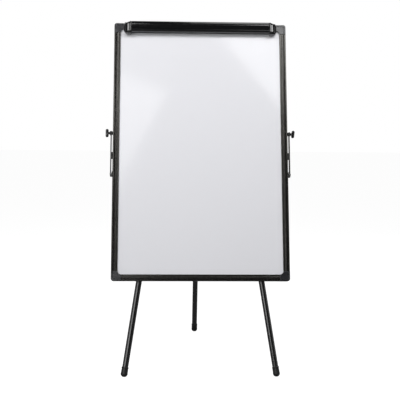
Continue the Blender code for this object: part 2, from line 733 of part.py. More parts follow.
# ---- side arms ---------------------------------------------------------------------------
def build_arm_bracket(side, flip, board, mats, outer, axis_x):
    """Fixing with two lugs, and the pin that the arm's lower end turns on."""
    wall = HALF_W + GAP
    near = ARM_FRONT - ARM_BRACKET_MARGIN
    far = ARM_BACK + ARM_BRACKET_MARGIN
    plate = block(mirror_span(flip, wall, wall + 0.0015), (near, far), (ARM_BRACKET_BOTTOM, ARM_HINGE_Z + 0.0090))
    bracket = add_piece(f"arm_bracket_{side}", plate, mats["plastic"], board)
    lip = block(mirror_span(flip, wall, outer), (near, far), (ARM_BRACKET_BOTTOM, ARM_HINGE_Z - 0.0030))
    apply_boolean(bracket, lip, "UNION")
    lug_height = (ARM_HINGE_Z - 0.0040, ARM_HINGE_Z + 0.0036)
    for low in (near, far - ARM_LUG_DEPTH):
        across = mirror_span(flip, wall, axis_x + 0.0028)
        lug = block(across, (low, low + ARM_LUG_DEPTH), lug_height)
        apply_boolean(bracket, lug, "UNION")
    pin_place = (flip * axis_x, 0, ARM_HINGE_Z)
    hole = rod(ARM_PIN_RADIUS + GAP, near - PAST, far + PAST, 14, "Y")
    apply_boolean(bracket, moved(hole, pin_place), "DIFFERENCE")
    pin = moved(rod(ARM_PIN_RADIUS, near, far, 14, "Y"), pin_place)
    add_piece(f"arm_hinge_pin_{side}", pin, mats["steel"], board)


def build_arm(side, flip, board, mats, hinge):
    """The flat strip with a barrel at its lower end and a hole at its upper end."""
    inner = HALF_W + ARM_STANDOFF
    eye_margin = ARM_LUG_DEPTH - ARM_BRACKET_MARGIN + GAP
    eye = (ARM_FRONT + eye_margin, ARM_BACK - eye_margin)
    top = arc((ARM_MID_Y, ARM_LOCK_Z), (ARM_BACK - ARM_FRONT) / 2, 180, 0, 10)
    shoulder = ARM_HINGE_Z + 0.0050
    outline = [
        (eye[0], ARM_HINGE_Z),
        (eye[0], shoulder),
        (ARM_FRONT, shoulder + 0.0016),
        *top,
        (ARM_BACK, shoulder + 0.0016),
        (eye[1], shoulder),
        (eye[1], ARM_HINGE_Z),
    ]
    strip = prism(outline, "X", *mirror_span(flip, inner, inner + ARM_THICKNESS))
    arm = add_piece(f"side_arm_{side}", strip, mats["painted"], board, origin=hinge)
    barrel = rod(0.0022, eye[0] - ARM_MID_Y, eye[1] - ARM_MID_Y, 16, "Y")
    apply_boolean(arm, barrel, "UNION")
    apply_boolean(arm, rod(ARM_PIN_RADIUS + GAP, -2 * PAST, 2 * PAST, 14, "Y"), "DIFFERENCE")
    screw_hole = moved(rod(0.0028, -PAST, PAST, 16, "X"), (0, 0, ARM_LOCK_Z - ARM_HINGE_Z))
    apply_boolean(arm, screw_hole, "DIFFERENCE")


def build_side_arm(side, flip, board, mats):
    """Flat arm hinged at its lower end on the frame's edge and locked by a wing screw."""
    wall = HALF_W + GAP
    inner = HALF_W + ARM_STANDOFF
    outer = inner + ARM_THICKNESS
    axis_x = (inner + outer) / 2
    build_arm_bracket(side, flip, board, mats, outer, axis_x)
    build_arm(side, flip, board, mats, Vector((flip * axis_x, ARM_MID_Y, ARM_HINGE_Z)))

    depth = (ARM_FRONT + ARM_BRACKET_MARGIN, ARM_BACK - ARM_BRACKET_MARGIN)
    rest = block(mirror_span(flip, wall, inner - GAP), depth, around(REST_BLOCK_Z, REST_BLOCK_HALF))
    add_piece(f"arm_rest_block_{side}", rest, mats["rubber"], board, smooth=False)

    ring = [(0.0028, wall), (0.0062, wall), (0.0062, inner - GAP), (0.0028, inner - GAP)]
    boss = lathe([(r, flip * x) for r, x in ring], 20, "X")
    add_piece(f"arm_lock_boss_{side}", moved(boss, (0, ARM_MID_Y, ARM_LOCK_Z)), mats["plastic"], board)
    build_wing_screw(side, flip, board, mats, outer)


def wing_outline(inset):
    """Round-ended bar, upright, drawn inside its full outline by the inset."""
    radius = WING_HALF_WIDTH - inset
    middle = WING_HALF_LENGTH - WING_HALF_WIDTH
    tops = arc((0, middle), radius, 0, 180, 8)
    feet = arc((0, -middle), radius, 180, 360, 8)
    return [*tops, *feet]


def wing_head(low, high):
    """Two-lobed head between two X levels, with chamfers all round."""
    bm = bmesh.new()
    rings = []
    for inset, level in ((WING_EDGE, low), (0, low + WING_EDGE), (0, high - WING_EDGE), (WING_EDGE, high)):
        rings.append([bm.verts.new((level, y, z)) for y, z in wing_outline(inset)])
    count = len(rings[0])
    for lower, upper in zip(rings, rings[1:]):
        for k in range(count):
            after = (k + 1) % count
            bm.faces.new((lower[k], lower[after], upper[after], upper[k]))
    bm.faces.new(rings[0])
    bm.faces.new(rings[-1])
    return bm


def build_wing_screw(side, flip, board, mats, arm_face):
    """Thumb screw: shank, flange, waisted neck and a rounded two-lobed head."""
    face = arm_face + GAP
    shank_end = HALF_W + 0.0012
    profile = [
        (0, shank_end),
        (0.0025, shank_end),
        (0.0025, face),
        (0.0080, face),
        (0.0080, face + 0.0014),
        (0.0052, face + 0.0022),
        (0.0046, face + 0.0050),
        (0.0050, face + 0.0080),
        (0, face + 0.0080),
    ]
    screw = lathe([(r, flip * x) for r, x in profile], 20, "X")
    axis = Vector((0, ARM_MID_Y, ARM_LOCK_Z))
    origin = axis + Vector((flip * face, 0, 0))
    screw = add_piece(f"wing_screw_{side}", moved(screw, axis), mats["gloss"], board, origin=origin)
    head = wing_head(*mirror_span(flip, 0.0070, 0.0171))
    if flip > 0:
        turn = Matrix.Rotation(RIGHT_WING_TURN, 4, "X")
        bmesh.ops.transform(head, matrix=turn, verts=head.verts)
    apply_boolean(screw, head, "UNION")


# ---- assembly ------------------------------------------------------------------------------
def make_materials():
    return {
        "enamel": make_material("white_enamel", (0.83, 0.83, 0.85), 0.12),
        "core": make_material("grey_backing", (0.35, 0.36, 0.37), 0.6),
        "frame": make_material("black_aluminium", (0.020, 0.020, 0.022), 0.25, 0.6),
        "cap": make_material("grey_black_plastic", (0.035, 0.036, 0.040), 0.5),
        "gloss": make_material("gloss_black_plastic", (0.012, 0.012, 0.014), 0.18),
        "plastic": make_material("black_plastic", (0.020, 0.020, 0.022), 0.45),
        "painted": make_material("black_paint", (0.018, 0.018, 0.020), 0.35, 0.2),
        "tube": make_material("black_coated_tube", (0.016, 0.016, 0.018), 0.3, 0.3),
        "steel": make_material("zinc_steel", (0.55, 0.56, 0.57), 0.35, 1.0),
        "rubber": make_material("black_rubber", (0.015, 0.015, 0.015), 0.75),
    }


def centre_footprint(root):
    """Moves the easel so that the middle of its box, front to back, is over the origin."""
    bpy.context.view_layer.update()
    depths = []
    for obj in bpy.data.objects:
        if obj.type == "MESH":
            depths += [(obj.matrix_world @ v.co).y for v in obj.data.vertices]
    root.location.y = -(min(depths) + max(depths)) / 2


def main():
    clear_scene()
    mats = make_materials()
    root = add_frame("easel_frame")
    board = add_frame("board_frame", root, (0, 0, BOARD_BOTTOM_HEIGHT), (-BOARD_LEAN, 0, 0))
    board_to_world = Matrix.Translation((0, 0, BOARD_BOTTOM_HEIGHT)) @ Matrix.Rotation(-BOARD_LEAN, 4, "X")
    build_panel(board, mats)
    build_rails(board, mats)
    build_corner_caps(board, mats)
    build_base_rail(board, mats)
    build_hooks(board, mats)
    build_cheeks(board, mats)
    build_clamp_pins(board, mats)
    build_clamp_springs(board, mats)
    build_clamp_bar(board, mats)
    build_head(board, mats)
    build_pivot_bolts(board, mats)
    build_legs(board, board_to_world, mats)
    build_leg_rests(board, mats)
    for side, flip in SIDES:
        build_side_arm(side, flip, board, mats)
    centre_footprint(root)


main()
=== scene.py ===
"""Looks of the flipchart easel: detailed pieces, materials, light and camera around the CAD frame."""

import json
import math

import bmesh
import bpy
from mathutils import Matrix, Vector


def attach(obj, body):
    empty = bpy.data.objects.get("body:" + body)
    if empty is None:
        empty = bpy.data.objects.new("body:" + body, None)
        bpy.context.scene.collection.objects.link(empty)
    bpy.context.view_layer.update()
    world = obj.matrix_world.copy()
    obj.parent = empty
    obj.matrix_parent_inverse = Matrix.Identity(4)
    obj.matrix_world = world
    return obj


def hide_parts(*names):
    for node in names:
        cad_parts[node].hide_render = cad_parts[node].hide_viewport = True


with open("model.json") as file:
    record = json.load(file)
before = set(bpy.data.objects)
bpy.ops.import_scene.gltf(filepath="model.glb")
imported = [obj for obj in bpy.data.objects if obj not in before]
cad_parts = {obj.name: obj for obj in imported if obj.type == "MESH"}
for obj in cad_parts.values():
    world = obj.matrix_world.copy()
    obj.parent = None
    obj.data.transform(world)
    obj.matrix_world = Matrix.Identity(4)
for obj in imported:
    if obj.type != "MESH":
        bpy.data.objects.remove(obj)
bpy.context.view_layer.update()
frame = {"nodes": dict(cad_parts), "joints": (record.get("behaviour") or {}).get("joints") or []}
joints = {j["name"]: j for j in frame["joints"]}

# ---- sizes that the CAD part has too, in metres ----
GAP = 0.0003
HALF_W = 0.300
BOARD_H = 0.900
RAIL_FACE = 0.022
RAIL_DEPTH = 0.0175
SLOT_FRONT = 0.0052
SLOT_BACK = 0.0138
SLOT_WALL = 0.0122
GROOVE_MIDDLE = 0.0067
GROOVE_HALF = 0.0018
GROOVE_TURN = 0.0060
GROOVE_CUT = 0.0022
CAP_LEG = 0.034
CAP_PROUD = 0.0006
CAP_ROUND = 0.0085
CAP_BACK = RAIL_DEPTH + CAP_PROUD
CAP_SCREWS = ((0.0060, 0.0260), (0.0260, 0.0060))
SCREW_SEAT = 0.0014

CLAMP_HALF = 0.2402
CLAMP_AXIS_Y = -0.0095
CLAMP_AXIS_Z = BOARD_H - 0.0075
CLAMP_AXIS = (0, CLAMP_AXIS_Y, CLAMP_AXIS_Z)
CLAMP_WALL = 0.0018
BOSS_RADIUS = 0.0042
BOSS_HALF = 0.214
PIN_RADIUS = 0.002
PIN_INNER = 0.200
PIN_OUTER = 0.258
JAW_FRONT = -0.0033
JAW_BACK = 0.0140
JAW_HALF = 0.264
JAW_BOTTOM = BOARD_H - 0.0355
JAW_TOP = BOARD_H + 0.0023
HOOK_X = 0.140
HOOK_Z = BOARD_H - 0.021

LEG_PLANE_Y = 0.032
PIVOT_Z = 0.820
LEG_SPREAD = 0.084
LEG_SLOPE = 0.150
REAR_PIVOT_Y = 0.066
HEAD_WALL = 0.002
HEAD_HALF = 0.118
EYE_HALF = 0.0157
EYE_RADIUS = 0.013
FORK_HALF = EYE_HALF + GAP + HEAD_WALL
HEAD_FRONT = LEG_PLANE_Y - FORK_HALF
HEAD_BACK = LEG_PLANE_Y + FORK_HALF
BOLT_RADIUS = 0.0039
NECK = 0.030
PLUG = 0.035
UPPER_RADIUS = 0.0125
LOWER_RADIUS = 0.0100
TUBE_WALL = 0.0012
UPPER_END = 0.770
COLLAR_START = 0.735
COLLAR_END = 0.785
COLLAR_MIDDLE = -(COLLAR_START + COLLAR_END) / 2
COLLAR_RADIUS = 0.0165
LEVER_PIVOT = 0.0225
LEVER_LENGTH = 0.046
LEVER_PIN = 0.002
LOWER_LENGTH = 0.920
FOOT_RADIUS = 0.0118
FOOT_FLAT_CUT = 0.0015
FOOT_LENGTH = 0.033
FOOT_FLOOR = 0.001

ARM_HINGE_Z = 0.3634
ARM_LOCK_Z = 0.507
ARM_THICKNESS = 0.0032
ARM_AXIS = 0.0012
ARM_STANDOFF = 0.0045
ARM_FRONT = 0.0015
ARM_BACK = 0.0165
ARM_MID_Y = (ARM_FRONT + ARM_BACK) / 2
REST_Z = 0.4286
ARM_WALL = HALF_W + GAP
ARM_INNER = HALF_W + ARM_STANDOFF
ARM_OUTER = ARM_INNER + ARM_THICKNESS
ARM_AXIS_X = ARM_INNER + ARM_AXIS
LUGS_Y = (ARM_FRONT - 0.001, ARM_BACK + 0.001)
LUG_DEPTH = 0.0034
HINGE_PIN = 0.001
SHANK_RADIUS = 0.0025
RIGHT_SCREW_TURN = 48

SIDES = (("left", -1), ("right", 1))
LEVELS = (("bottom", 1, 0), ("top", -1, BOARD_H))
LEGS = ("front_leg_left", "front_leg_right", "rear_leg")


# ---- local frames, read from the record ----
def matrix_of(x, y, z, origin):
    """World matrix of a frame from its three axes and its origin."""
    turn = Matrix((x, y, z)).transposed().to_4x4()
    return Matrix.Translation(origin) @ turn


def board_matrix():
    """X across, Y from the front crest of the frame to the back, Z up from the lower edge."""
    back = Vector(joints["side_arm_right_swing"]["axis"]).normalized()
    across = Vector((1, 0, 0))
    up = across.cross(back)
    clamp_axis = Vector(joints["clamp_hinge"]["pos_m"])
    return matrix_of(across, back, up, clamp_axis - back * CLAMP_AXIS_Y - up * CLAMP_AXIS_Z)


def leg_matrix(name, board):
    """Origin on the leg's pivot, leg along -Z, Y towards the back."""
    up = -Vector(joints[f"{name}_extend"]["axis"]).normalized()
    if name == "rear_leg":
        across = Vector((1, 0, 0))
        back = up.cross(across)
    else:
        back = board.to_3x3() @ Vector((0, 1, 0))
        across = back.cross(up)
    return matrix_of(across, back, up, Vector(joints[f"{name}_fold"]["pos_m"]))


BOARD = board_matrix()
LEG = {name: leg_matrix(name, BOARD) for name in LEGS}


# ---- mesh helpers ----
def arc(centre, radius, start, end, steps):
    """Points of an arc between two angles in degrees, both ends included."""
    angles = [math.radians(start + (end - start) * k / steps) for k in range(steps + 1)]
    return [(centre[0] + radius * math.cos(a), centre[1] + radius * math.sin(a)) for a in angles]


def prism(outline, axis, low, high):
    """Extrudes a closed outline along X, Y or Z; outline points hold the other two axes."""
    order = {"X": (2, 0, 1), "Y": (0, 2, 1), "Z": (0, 1, 2)}[axis]
    bm = bmesh.new()
    rings = []
    for level in (low, high):
        rows = [(*point, level) for point in outline]
        rings.append([bm.verts.new([row[k] for k in order]) for row in rows])
    bm.faces.new(rings[0])
    bm.faces.new(reversed(rings[1]))
    count = len(outline)
    for k in range(count):
        after = (k + 1) % count
        bm.faces.new((rings[0][k], rings[1][k], rings[1][after], rings[0][after]))
    return bm


def skin(bm, rings, ends=True):
    """Faces between neighbouring rings of vertices, and over the first and the last ring."""
    for lower, upper in zip(rings, rings[1:]):
        for k in range(len(lower)):
            after = (k + 1) % len(lower)
            corners = [lower[k], lower[after], upper[after], upper[k]]
            bm.faces.new(list(dict.fromkeys(corners)))
    if ends:
        bm.faces.new(rings[0])
        bm.faces.new(rings[-1])
    return bm


def laid(bm, axis):
    """Turns geometry that was made along Z to lie along another axis."""
    turn = {"X": Matrix.Rotation(math.pi / 2, 4, "Y"), "Y": Matrix.Rotation(-math.pi / 2, 4, "X")}
    if axis in turn:
        bmesh.ops.transform(bm, matrix=turn[axis], verts=bm.verts)
    return bm


def block(x_range, y_range, z_range):
    """Box between two values along each axis."""
    (x0, x1), (y0, y1) = x_range, y_range
    return prism([(x0, y0), (x1, y0), (x1, y1), (x0, y1)], "Z", *z_range)


def on_side(flip, low, high):
    """Range of X on the left (-1) or right (1) side, for two distances from the middle."""
    return sorted((flip * low, flip * high))


def lathe(profile, segments, axis="Z"):
    """Solid of revolution; closed at its ends where they lie on the axis, else a ring section."""
    bm = bmesh.new()
    rings = []
    turns = [2 * math.pi * k / segments for k in range(segments)]
    for radius, height in profile:
        if radius == 0:
            rings.append([bm.verts.new((0, 0, height))] * segments)
        else:
            points = [(radius * math.cos(t), radius * math.sin(t), height) for t in turns]
            rings.append([bm.verts.new(point) for point in points])
    if profile[0][0] or profile[-1][0]:
        rings.append(rings[0])
    return laid(skin(bm, rings, ends=False), axis)


def rod(radius, low, high, segments, axis="Z", chamfer=0.0):
    """Round bar, with chamfered ends where a chamfer is given."""
    if not chamfer:
        return lathe([(0, low), (radius, low), (radius, high), (0, high)], segments, axis)
    profile = [
        (0, low),
        (radius - chamfer, low),
        (radius, low + chamfer),
        (radius, high - chamfer),
        (radius - chamfer, high),
        (0, high),
    ]
    return lathe(profile, segments, axis)


def moved(bm, offset):
    bmesh.ops.translate(bm, verts=bm.verts, vec=offset)
    return bm


def turned(bm, degrees, axis):
    bmesh.ops.transform(bm, matrix=Matrix.Rotation(math.radians(degrees), 4, axis), verts=bm.verts)
    return bm


def mirrored(bm, axis):
    """Mirrors geometry through the plane across X or Z at the origin."""
    bmesh.ops.scale(bm, vec=(-1, 1, 1) if axis == "X" else (1, 1, -1), verts=bm.verts)
    bmesh.ops.reverse_faces(bm, faces=bm.faces)
    return bm


def ribbon(path, thickness):
    """Closed outline of a strip along a path, with its thickness on the right-hand side."""
    points = [Vector(p) for p in path]
    normals = []
    for a, b in zip(points, points[1:]):
        step = (b - a).normalized()
        normals.append(Vector((step.y, -step.x)))
    inner = []
    for k, point in enumerate(points):
        before = normals[max(k - 1, 0)]
        after = normals[min(k, len(normals) - 1)]
        middle = (before + after).normalized()
        inner.append(point + middle * (thickness / middle.dot(after)))
    return [tuple(p) for p in points] + [tuple(p) for p in reversed(inner)]


def rounded(corners, radius, steps=5):
    """Rounds each inner corner of an open path of 2-D points."""
    path = [Vector(corners[0])]
    for a, b, c in zip(corners, corners[1:], corners[2:]):
        a, b, c = Vector(a), Vector(b), Vector(c)
        enter = b + (a - b).normalized() * radius
        leave = b + (c - b).normalized() * radius
        for k in range(steps + 1):
            t = k / steps
            path.append(enter * (1 - t) ** 2 + b * (2 * t * (1 - t)) + leave * t ** 2)
    path.append(Vector(corners[-1]))
    return [tuple(p) for p in path]


def spline(points, steps):
    """Smooth open curve through 2-D points (Catmull-Rom)."""
    points = [Vector(p) for p in points]
    padded = [points[0] * 2 - points[1], *points, points[-1] * 2 - points[-2]]
    curve = []
    for p0, p1, p2, p3 in zip(padded, padded[1:], padded[2:], padded[3:]):
        for k in range(steps):
            t = k / steps
            bend = p0 * -1 + p1 * 3 - p2 * 3 + p3
            lean = p0 * 2 - p1 * 5 + p2 * 4 - p3
            curve.append((bend * t ** 3 + lean * t ** 2 + (p2 - p0) * t + p1 * 2) * 0.5)
    curve.append(points[-1])
    return [tuple(p) for p in curve]


def swept_wire(path, radius, sides):
    """Wire through a list of points, with flat ends."""
    points = [Vector(p) for p in path]
    turns = [2 * math.pi * k / sides for k in range(sides)]
    bm = bmesh.new()
    rings = []
    normal = None
    for k, point in enumerate(points):
        tangent = (points[min(k + 1, len(points) - 1)] - points[max(k - 1, 0)]).normalized()
        if normal is None:
            normal = tangent.orthogonal().normalized()
        normal = (normal - tangent * normal.dot(tangent)).normalized()
        side = tangent.cross(normal)
        spokes = [normal * math.cos(t) + side * math.sin(t) for t in turns]
        rings.append([bm.verts.new(point + radius * spoke) for spoke in spokes])
    return skin(bm, rings)


def bevel_where(bm, test, width, segments):
    """Bevels the edges whose two ends both pass the test."""
    edges = [e for e in bm.edges if all(test(v.co) for v in e.verts)]
    bmesh.ops.bevel(bm, geom=edges, offset=width, segments=segments, profile=0.5, affect="EDGES")
    return bm


def combined(body, tool, operation):
    """Boolean of two closed meshes, as a new bmesh."""
    made = []
    for part in (body, tool):
        bmesh.ops.recalc_face_normals(part, faces=part.faces)
        mesh = bpy.data.meshes.new("step")
        part.to_mesh(mesh)
        part.free()
        obj = bpy.data.objects.new("step", mesh)
        bpy.context.scene.collection.objects.link(obj)
        made.append(obj)
    modifier = made[0].modifiers.new("step", "BOOLEAN")
    modifier.operation = operation
    modifier.solver = "EXACT"
    modifier.object = made[1]
    depsgraph = bpy.context.evaluated_depsgraph_get()
    result = bmesh.new()
    result.from_mesh(made[0].evaluated_get(depsgraph).data)
    for obj in made:
        bpy.data.objects.remove(obj)
    return result


def cut(body, *tools):
    for tool in tools:
        body = combined(body, tool, "DIFFERENCE")
    return body


def joined(body, *tools):
    for tool in tools:
        body = combined(body, tool, "UNION")
    return body


def piece(name, bm, place, body, node, slot, bevel=0.0003, segments=3):
    """Makes a finished piece that stands for one CAD node, or for none, and rides on a body."""
    bmesh.ops.recalc_face_normals(bm, faces=bm.faces)
    mesh = bpy.data.meshes.new(name)
    bm.to_mesh(mesh)
    bm.free()
    mesh.materials.append(MATERIALS[slot])
    mesh.shade_smooth()
    obj = bpy.data.objects.new(name, mesh)
    bpy.context.scene.collection.objects.link(obj)
    obj.matrix_world = place
    if bevel:
        edge = obj.modifiers.new("edge", "BEVEL")
        edge.width = bevel
        edge.segments = segments
        edge.limit_method = "ANGLE"
        edge.angle_limit = math.radians(28)
    shade = obj.modifiers.new("shade", "WEIGHTED_NORMAL")
    shade.weight = 80
    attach(obj, body)
    if node:
        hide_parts(node)


def board_piece(name, bm, node, slot, bevel=0.0003, segments=3):
    """Makes a finished piece that is fixed to the board."""
    piece(name, bm, BOARD, "board", node, slot, bevel, segments)


# ---- materials ----
class Surface:
    """A Principled material with short helpers for its procedural detail."""

    def __init__(self, name, colour, roughness, metallic=0.0):
        self.material = bpy.data.materials.new(name)
        self.material.use_nodes = True
        self.tree = self.material.node_tree
        self.shader = self.tree.nodes["Principled BSDF"]
        self.coords = self.node("ShaderNodeTexCoord").outputs["Object"]
        self.set("Base Color", (*colour, 1))
        self.set("Roughness", roughness)
        self.set("Metallic", metallic)
        self.colour = (*colour, 1)
        self.height = None

    def node(self, kind, **values):
        made = self.tree.nodes.new(kind)
        for key, value in values.items():
            if hasattr(made, key):
                setattr(made, key, value)
            else:
                made.inputs[key].default_value = value
        return made

    def link(self, a, b):
        self.tree.links.new(a, b)

    def set(self, socket, value):
        self.shader.inputs[socket].default_value = value

    def scaled(self, scale):
        mapping = self.node("ShaderNodeMapping")
        mapping.inputs["Scale"].default_value = scale if isinstance(scale, tuple) else (scale,) * 3
        self.link(self.coords, mapping.inputs["Vector"])
        return mapping.outputs["Vector"]

    def noise(self, scale, detail=4.0, roughness=0.55, distortion=0.0):
        made = self.node("ShaderNodeTexNoise", Scale=1.0, Detail=detail, Distortion=distortion)
        made.inputs["Roughness"].default_value = roughness
        self.link(self.scaled(scale), made.inputs["Vector"])
        return made.outputs["Fac"]

    def cells(self, scale):
        made = self.node("ShaderNodeTexVoronoi", Scale=1.0)
        self.link(self.scaled(scale), made.inputs["Vector"])
        return made.outputs["Distance"]

    def ranged(self, value, low, high, from_low=0.3, from_high=0.7):
        made = self.node("ShaderNodeMapRange")
        made.inputs["From Min"].default_value = from_low
        made.inputs["From Max"].default_value = from_high
        made.inputs["To Min"].default_value = low
        made.inputs["To Max"].default_value = high
        self.link(value, made.inputs["Value"])
        return made.outputs["Result"]

    def tint(self, factor, colour):
        """Mixes another colour into the base colour where the factor is high."""
        mix = self.node("ShaderNodeMix", data_type="RGBA")
        self.link(factor, mix.inputs["Factor"])
        base = self.shader.inputs["Base Color"]
        if base.is_linked:
            self.link(base.links[0].from_socket, mix.inputs["A"])
        else:
            mix.inputs["A"].default_value = self.colour
        mix.inputs["B"].default_value = (*colour, 1)
        self.link(mix.outputs["Result"], base)

    def roughen(self, value):
        self.link(value, self.shader.inputs["Roughness"])

    def bump(self, value, depth):
        """Adds a height map; depth is the distance from its low to its high points."""
        made = self.node("ShaderNodeBump", Strength=1.0, Distance=depth)
        self.link(value, made.inputs["Height"])
        if self.height is not None:
            self.link(self.height, made.inputs["Normal"])
        self.height = made.outputs["Normal"]
        self.link(self.height, self.shader.inputs["Normal"])


def white_enamel():
    """Gloss enamel: faint orange peel and the dull haze that wiping leaves."""
    s = Surface("white_enamel", (0.802, 0.804, 0.838), 0.08)
    haze = s.noise((3.0, 9.0, 5.0), 6, 0.6, 1.2)
    s.roughen(s.ranged(haze, 0.05, 0.10))
    s.tint(s.ranged(s.noise((26, 60, 18), 8, 0.7), 0.0, 0.10, 0.55, 0.85), (0.70, 0.71, 0.75))
    s.bump(s.noise(150, 2), 0.000003)
    s.bump(s.noise(7.0, 2), 0.00005)
    s.set("Specular IOR Level", 0.33)
    return s.material


def backing_sheet():
    """Dull grey coated sheet with a soft spangle and long handling scuffs."""
    s = Surface("grey_backing", (0.30, 0.31, 0.325), 0.45)
    spangle = s.cells((70, 70, 70))
    s.tint(s.ranged(spangle, 0.0, 0.35, 0.1, 0.9), (0.24, 0.25, 0.265))
    scuff = s.noise((4, 4, 60), 8, 0.7)
    s.tint(s.ranged(scuff, 0.0, 0.30, 0.62, 0.78), (0.44, 0.45, 0.46))
    s.roughen(s.ranged(spangle, 0.38, 0.60, 0.0, 0.8))
    s.bump(s.noise(60, 5), 0.00006)
    return s.material


def anodised(name, along):
    """Black anodised extrusion: fine die lines run along its length."""
    stretch = {"X": (1.5, 900, 900), "Z": (900, 900, 1.5)}[along]
    s = Surface(name, (0.072, 0.070, 0.065), 0.2, 0.9)
    lines = s.noise(stretch, 3, 0.6)
    cloud = s.noise(9, 4)
    s.roughen(s.ranged(lines, 0.15, 0.27))
    s.tint(s.ranged(cloud, 0.0, 0.45), (0.040, 0.039, 0.038))
    s.tint(s.ranged(lines, 0.0, 0.30, 0.55, 0.75), (0.10, 0.097, 0.090))
    s.bump(lines, 0.000010)
    s.bump(s.noise(240, 3), 0.000006)
    return s.material


def moulded(name, colour, rough_low, rough_high, grain, depth, specular=0.5):
    """Moulded plastic with a spark-eroded grain and slight wear."""
    s = Surface(name, colour, rough_high)
    fine = s.noise(grain, 3, 0.6)
    cloud = s.noise(22, 4)
    lighter = tuple(c * 1.5 + 0.002 for c in colour)
    s.tint(s.ranged(cloud, 0.0, 0.5), lighter)
    s.roughen(s.ranged(s.noise(45, 5), rough_low, rough_high))
    s.bump(fine, depth)
    s.set("Specular IOR Level", specular)
    return s.material


def coated(name, colour, rough, depth, specular=0.5):
    """Powder coat or tube lacquer: fine peel, dust-grey rubs and a few scratches."""
    s = Surface(name, colour, rough)
    s.set("Specular IOR Level", specular)
    peel = s.noise(420, 2, 0.5)
    s.bump(peel, depth)
    s.bump(s.noise(60, 3), depth * 2)
    s.roughen(s.ranged(s.noise(30, 5), rough - 0.07, rough + 0.10))
    rub = s.noise((90, 90, 7), 7, 0.7)
    s.tint(s.ranged(rub, 0.0, 0.5, 0.62, 0.80), tuple(c * 2.2 + 0.004 for c in colour))
    return s.material


def zinc_steel():
    """Zinc plate: pale cloudy grey with fine drawn lines."""
    s = Surface("zinc_steel", (0.56, 0.565, 0.57), 0.3, 1.0)
    cloud = s.noise(160, 5, 0.6)
    s.roughen(s.ranged(cloud, 0.22, 0.45))
    s.tint(s.ranged(cloud, 0.0, 0.6), (0.42, 0.42, 0.41))
    s.bump(s.noise((500, 500, 60), 4), 0.00001)
    return s.material


def black_rubber():
    """Matt rubber with grain and pale dust in its hollows."""
    s = Surface("black_rubber", (0.007, 0.007, 0.0075), 0.4)
    dust = s.noise(95, 7, 0.7)
    s.tint(s.ranged(dust, 0.0, 0.4, 0.56, 0.80), (0.030, 0.029, 0.028))
    s.roughen(s.ranged(dust, 0.28, 0.52))
    s.bump(s.noise(700, 3), 0.00001)
    s.bump(s.cells((420, 420, 420)), 0.000006)
    return s.material


MATERIALS = {
    "white_enamel": white_enamel(),
    "grey_backing": backing_sheet(),
    "rail_across": anodised("black_aluminium_across", "X"),
    "rail_upright": anodised("black_aluminium_upright", "Z"),
    "grey_black_plastic": moulded(
        "grey_black_plastic", (0.014, 0.0145, 0.017), 0.20, 0.32, 900, 0.000006, specular=0.6
    ),
    "gloss_black_plastic": moulded(
        "gloss_black_plastic", (0.003, 0.003, 0.0035), 0.07, 0.15, 400, 0.000002
    ),
    "black_plastic": moulded("black_plastic", (0.008, 0.008, 0.009), 0.34, 0.46, 900, 0.000008),
    "black_paint": coated("black_paint", (0.005, 0.005, 0.0055), 0.34, 0.000008, 0.3),
    "black_coated_tube": coated("black_coated_tube", (0.002, 0.002, 0.0023), 0.20, 0.000003, 1.0),
    "zinc_steel": zinc_steel(),
    "black_rubber": black_rubber(),
}


def finish_flat_nodes():
    """The writing sheet and the core keep their CAD meshes; only their materials change."""
    for node, slot in (("whiteboard_sheet", "white_enamel"), ("board_core", "grey_backing")):
        slots = frame["nodes"][node].data.materials
        slots.clear()
        slots.append(MATERIALS[slot])


# ---- board frame ----
def rail_section():
    """Frame section: distance from the outer edge, depth behind the front crest."""
    bead = arc((0.0018, 0.0020), 0.0018, 180, 270, 10)
    crest = arc((0.0140, 0.0014), 0.0014, 200, 340, 14)
    lip = arc((0.0208, 0.0024), 0.0012, 270, 360, 8)
    return [
        (0.0006, RAIL_DEPTH),
        (0, RAIL_DEPTH - 0.0006),
        (0, 0.0125),
        (0.0004, 0.0120),
        (0.0004, 0.0112),
        (0, 0.0107),
        *bead,
        (GROOVE_MIDDLE - GROOVE_HALF, 0.0003),
        (GROOVE_MIDDLE, 0.0003 + 2.0 * GROOVE_HALF),
        (GROOVE_MIDDLE + GROOVE_HALF, 0.0003),
        (0.0120, 0.0005),
        *crest,
        (0.0165, 0.0011),
        *lip,
        (RAIL_FACE, SLOT_FRONT),
        (SLOT_WALL, SLOT_FRONT),
        (SLOT_WALL, SLOT_BACK),
        (0.0180, SLOT_BACK),
        (0.0180, RAIL_DEPTH),
    ]


def make_rail(name, bm, slot):
    node = f"frame_rail_{name}"
    board_piece(f"{node}_extrusion", bm, node, slot, 0.0001, 2)


def make_rails():
    """Four extrusions that end at the corner caps."""
    section = rail_section()
    reach = CAP_LEG + GAP
    across = HALF_W - reach
    for name, flip, base in LEVELS:
        outline = [(depth, base + flip * inward) for inward, depth in section]
        make_rail(name, prism(outline, "X", -across, across), "rail_across")
    for name, flip in SIDES:
        outline = [(flip * (HALF_W - inward), depth) for inward, depth in section]
        make_rail(name, prism(outline, "Z", reach, BOARD_H - reach), "rail_upright")


def groove_line():
    """Middle line of the groove on a corner cap's face: along one leg, round the turn, down the other."""
    past = CAP_LEG + 0.002
    centre = GROOVE_MIDDLE + GROOVE_TURN
    turn = arc((centre, centre), GROOVE_TURN, 270, 180, 10)
    return [(a, -CAP_PROUD, b) for a, b in [(past, GROOVE_MIDDLE), *turn, (GROOVE_MIDDLE, past)]]


